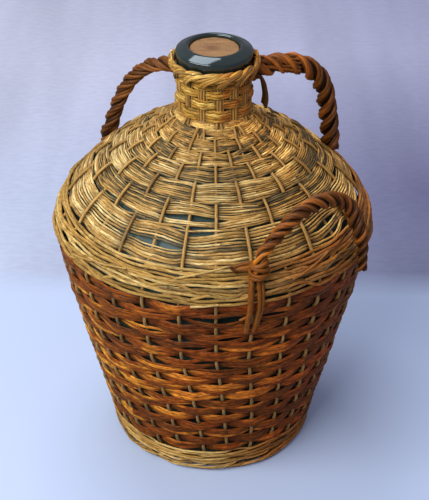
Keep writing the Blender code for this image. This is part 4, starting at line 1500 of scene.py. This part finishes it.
# Rods of each leg: place across at the top and at the foot, bow, length from and to, thickness, tone
LEG_RODS = (
    (
        (-0.0030, -0.0090, -0.0006, 0.030, -0.026, 0.0052, 0.3),
        (-0.0050, -0.0148, 0.0020, -0.004, -0.013, 0.0026, 0.6),
    ),
    (
        (0.0010, -0.0024, 0.0016, 0.030, -0.0265, 0.0040, 0.5),
        (0.0044, 0.0006, 0.0018, 0.029, -0.0200, 0.0032, 0.25),
    ),
)


def area_lamp(name, place, target, size, power, colour):
    """A soft oblong lamp that looks at a point."""
    data = bpy.data.lights.new(name, "AREA")
    data.energy = power
    data.shape = "RECTANGLE"
    data.size, data.size_y = size
    data.color = colour
    made = in_scene(name, data)
    made.location = place
    made.rotation_euler = (Vector(target) - Vector(place)).to_track_quat("-Z", "Y").to_euler()


def plain_cloth():
    """Pale cotton cloth laid under the demijohn: matt, its far part painted as a backdrop, with the painted
    shade of soft folds.
    """
    made, tree, shader = new_finish("plain pale cloth")
    colour = colours().floor
    place = add_node(tree, "TexCoord")["Object"]
    axes = add_node(tree, "SeparateXYZ", {"Vector": place})
    depth = add_node(tree, "MapRange", {"Value": axes["Y"], "From Min": 0.19, "From Max": 0.79})["Result"]
    across = add_node(tree, "MapRange", {"Value": axes["X"], "From Min": -0.3, "From Max": 0.5})["Result"]
    # The front darkens a little to the right, a painted shade
    front = add_node(tree, "ValToRGB", {"Fac": across}, [(0.0, colour), (1.0, scaled(colour, 0.97))])["Color"]
    # Painted shade darkens the back to the right, and painted light lightens it far away
    back = tinted(tree, colour, across, [(0.0, (0.915, 0.855, 0.815)), (1.0, (0.595, 0.55, 0.63))])
    back = tinted(tree, back, depth, [(0.35, WHITE), (1.0, (1.32, 1.22, 1.15))])
    # A painted shadow, soft and dark, behind and to the right of the demijohn
    painted_shadow_centre = {0: place, 1: (0.28, 0.42, 0.0)}
    reach = add_node(tree, "VectorMath", painted_shadow_centre, operation="DISTANCE")["Value"]
    reach = add_node(tree, "Math", {0: reach, 1: 0.42}, operation="DIVIDE")[0]
    back = tinted(tree, back, reach, [(0.0, (0.5, 0.45, 0.55)), (1.0, WHITE)])
    # Painted light and shade of upright folds 110 mm wide, and thread drawn 6 to 14 mm wide, far coarser than
    # real so that it shows
    for stretch, amount in (((9.0, 1.0, 1.0), 0.09), ((70.0, 160.0, 1.0), 0.035)):
        drawn = add_node(tree, "Mapping", {"Vector": place, "Scale": stretch})[0]
        folds = add_node(tree, "TexNoise", {"Vector": drawn, "Scale": 1.0, "Detail": 2.0})["Fac"]
        back = tinted(tree, back, folds, [(0.36, (1 - amount,) * 3), (0.64, (1 + amount,) * 3)])
    edge = add_node(tree, "ValToRGB", {"Fac": depth}, [(0.0, (0.0, 0.0, 0.0)), (0.08, WHITE)])["Color"]
    base = add_node(tree, "Mix", {0: edge, 6: front, 7: back}, **BLEND)[2]
    # The camera sees the pale cloth, and the demijohn gets back a darker, neutral light
    seen = add_node(tree, "LightPath")["Is Camera Ray"]
    base = add_node(tree, "Mix", {0: seen, 6: (0.36, 0.34, 0.33), 7: base}, **BLEND)[2]
    plug(tree, shader, {"Base Color": base, "Roughness": 0.9})
    return made


class DEMIJOHN_OT_stage(Operator):
    """The plain floor, with a backdrop painted on its far part, the soft lamps and the camera"""

    bl_idname = "demijohn.stage"
    bl_label = "Stage"

    def execute(self, context):
        self.camera(context)
        self.floor(context)
        self.sky(context)
        area_lamp("window_left", (-1.02, -0.95, 1.45), (0, 0, 0.2), (1.8, 0.7), 33.0, (1.0, 0.98, 0.95))
        area_lamp("sky_above", (-0.28, 0.44, 1.65), (0, 0, 0.3), (0.75, 0.65), 7.9, (0.97, 0.98, 1.0))
        return {"FINISHED"}

    def camera(self, context):
        """The photograph's view: 34 degrees down on the front."""
        distance = 1.209
        pitch = math.radians(33.8)
        roll = math.radians(0.49)
        aim_x, aim_z = 0.0015, 0.1882
        place = Vector((aim_x, -distance * math.cos(pitch), aim_z + distance * math.sin(pitch)))
        across = Vector((1.0, 0.0, 0.0))
        forward = Vector((0.0, math.cos(pitch), -math.sin(pitch)))
        level = across.cross(forward)
        right = math.cos(roll) * across + math.sin(roll) * level
        up = -math.sin(roll) * across + math.cos(roll) * level
        data = bpy.data.cameras.new("photograph_view")
        data.sensor_width = 36.0
        data.lens = 93.6
        made = in_scene("photograph_view", data)
        turned = Matrix((right, up, -forward)).transposed().to_4x4()
        made.matrix_world = Matrix.Translation(place) @ turned
        context.scene.camera = made

    def floor(self, context):
        """A wide plain floor."""
        clear_selection()
        bpy.ops.mesh.primitive_circle_add(vertices=64, radius=6.0, fill_type="NGON", location=(0, 0, 0))
        made = context.object
        made.name = "floor"
        made.data.materials.append(plain_cloth())

    def sky(self, context):
        """A pale sky all round, a little bluer where it lights the demijohn than where it is seen."""
        world = bpy.data.worlds.new("pale_sky")
        world.use_nodes = True
        tree = world.node_tree
        seen = add_node(tree, "LightPath")["Is Camera Ray"]
        colour = add_node(tree, "Mix", {0: seen, 6: (0.98, 0.98, 1.18), 7: colours().floor}, **BLEND)[2]
        strength = add_node(tree, "Math", {0: seen, 1: 0.50, 2: 0.30}, operation="MULTIPLY_ADD")[0]
        plug(tree, tree.nodes["Background"], {"Color": colour, "Strength": strength})
        context.scene.world = world


class DEMIJOHN_PT_panel(Panel):
    """Lists the steps that build the demijohn"""

    bl_idname = "DEMIJOHN_PT_panel"
    bl_label = "Wicker demijohn"
    bl_space_type = "VIEW_3D"
    bl_region_type = "UI"
    bl_category = "Demijohn"

    def draw(self, context):
        for step in STEPS_IN_ORDER:
            self.layout.operator(step.bl_idname)
        for group in (casing(), handles(), colours()):
            box = self.layout.box()
            for name in group.__annotations__:
                box.prop(group, name)


GROUPS = (CasingSizes, HandleSizes, FinishColours)
STEPS_IN_ORDER = (
    DEMIJOHN_OT_stage,
    DEMIJOHN_OT_bottle,
    DEMIJOHN_OT_cork,
    DEMIJOHN_OT_base,
    DEMIJOHN_OT_foot,
    DEMIJOHN_OT_stakes,
    DEMIJOHN_OT_body_weave,
    DEMIJOHN_OT_band,
    DEMIJOHN_OT_shoulder_weave,
    DEMIJOHN_OT_collar,
    DEMIJOHN_OT_neck_handles,
    DEMIJOHN_OT_tipping_handle,
)


def register():
    """Registers the properties, the operators and the panel."""
    for kind in GROUPS + STEPS_IN_ORDER + (DEMIJOHN_PT_panel,):
        bpy.utils.register_class(kind)
    bpy.types.Scene.demijohn_casing = PointerProperty(type=CasingSizes)
    bpy.types.Scene.demijohn_handles = PointerProperty(type=HandleSizes)
    bpy.types.Scene.demijohn_colours = PointerProperty(type=FinishColours)


def unregister():
    """Removes them again."""
    del bpy.types.Scene.demijohn_casing
    del bpy.types.Scene.demijohn_handles
    del bpy.types.Scene.demijohn_colours
    for kind in reversed(GROUPS + STEPS_IN_ORDER + (DEMIJOHN_PT_panel,)):
        bpy.utils.unregister_class(kind)


def main():
    """Builds every piece in order."""
    register()
    bpy.context.scene.view_settings.view_transform = "Standard"
    for step in STEPS_IN_ORDER:
        group, name = step.bl_idname.split(".")
        getattr(getattr(bpy.ops, group), name)()
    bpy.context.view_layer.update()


if __name__ == "__main__":
    main()
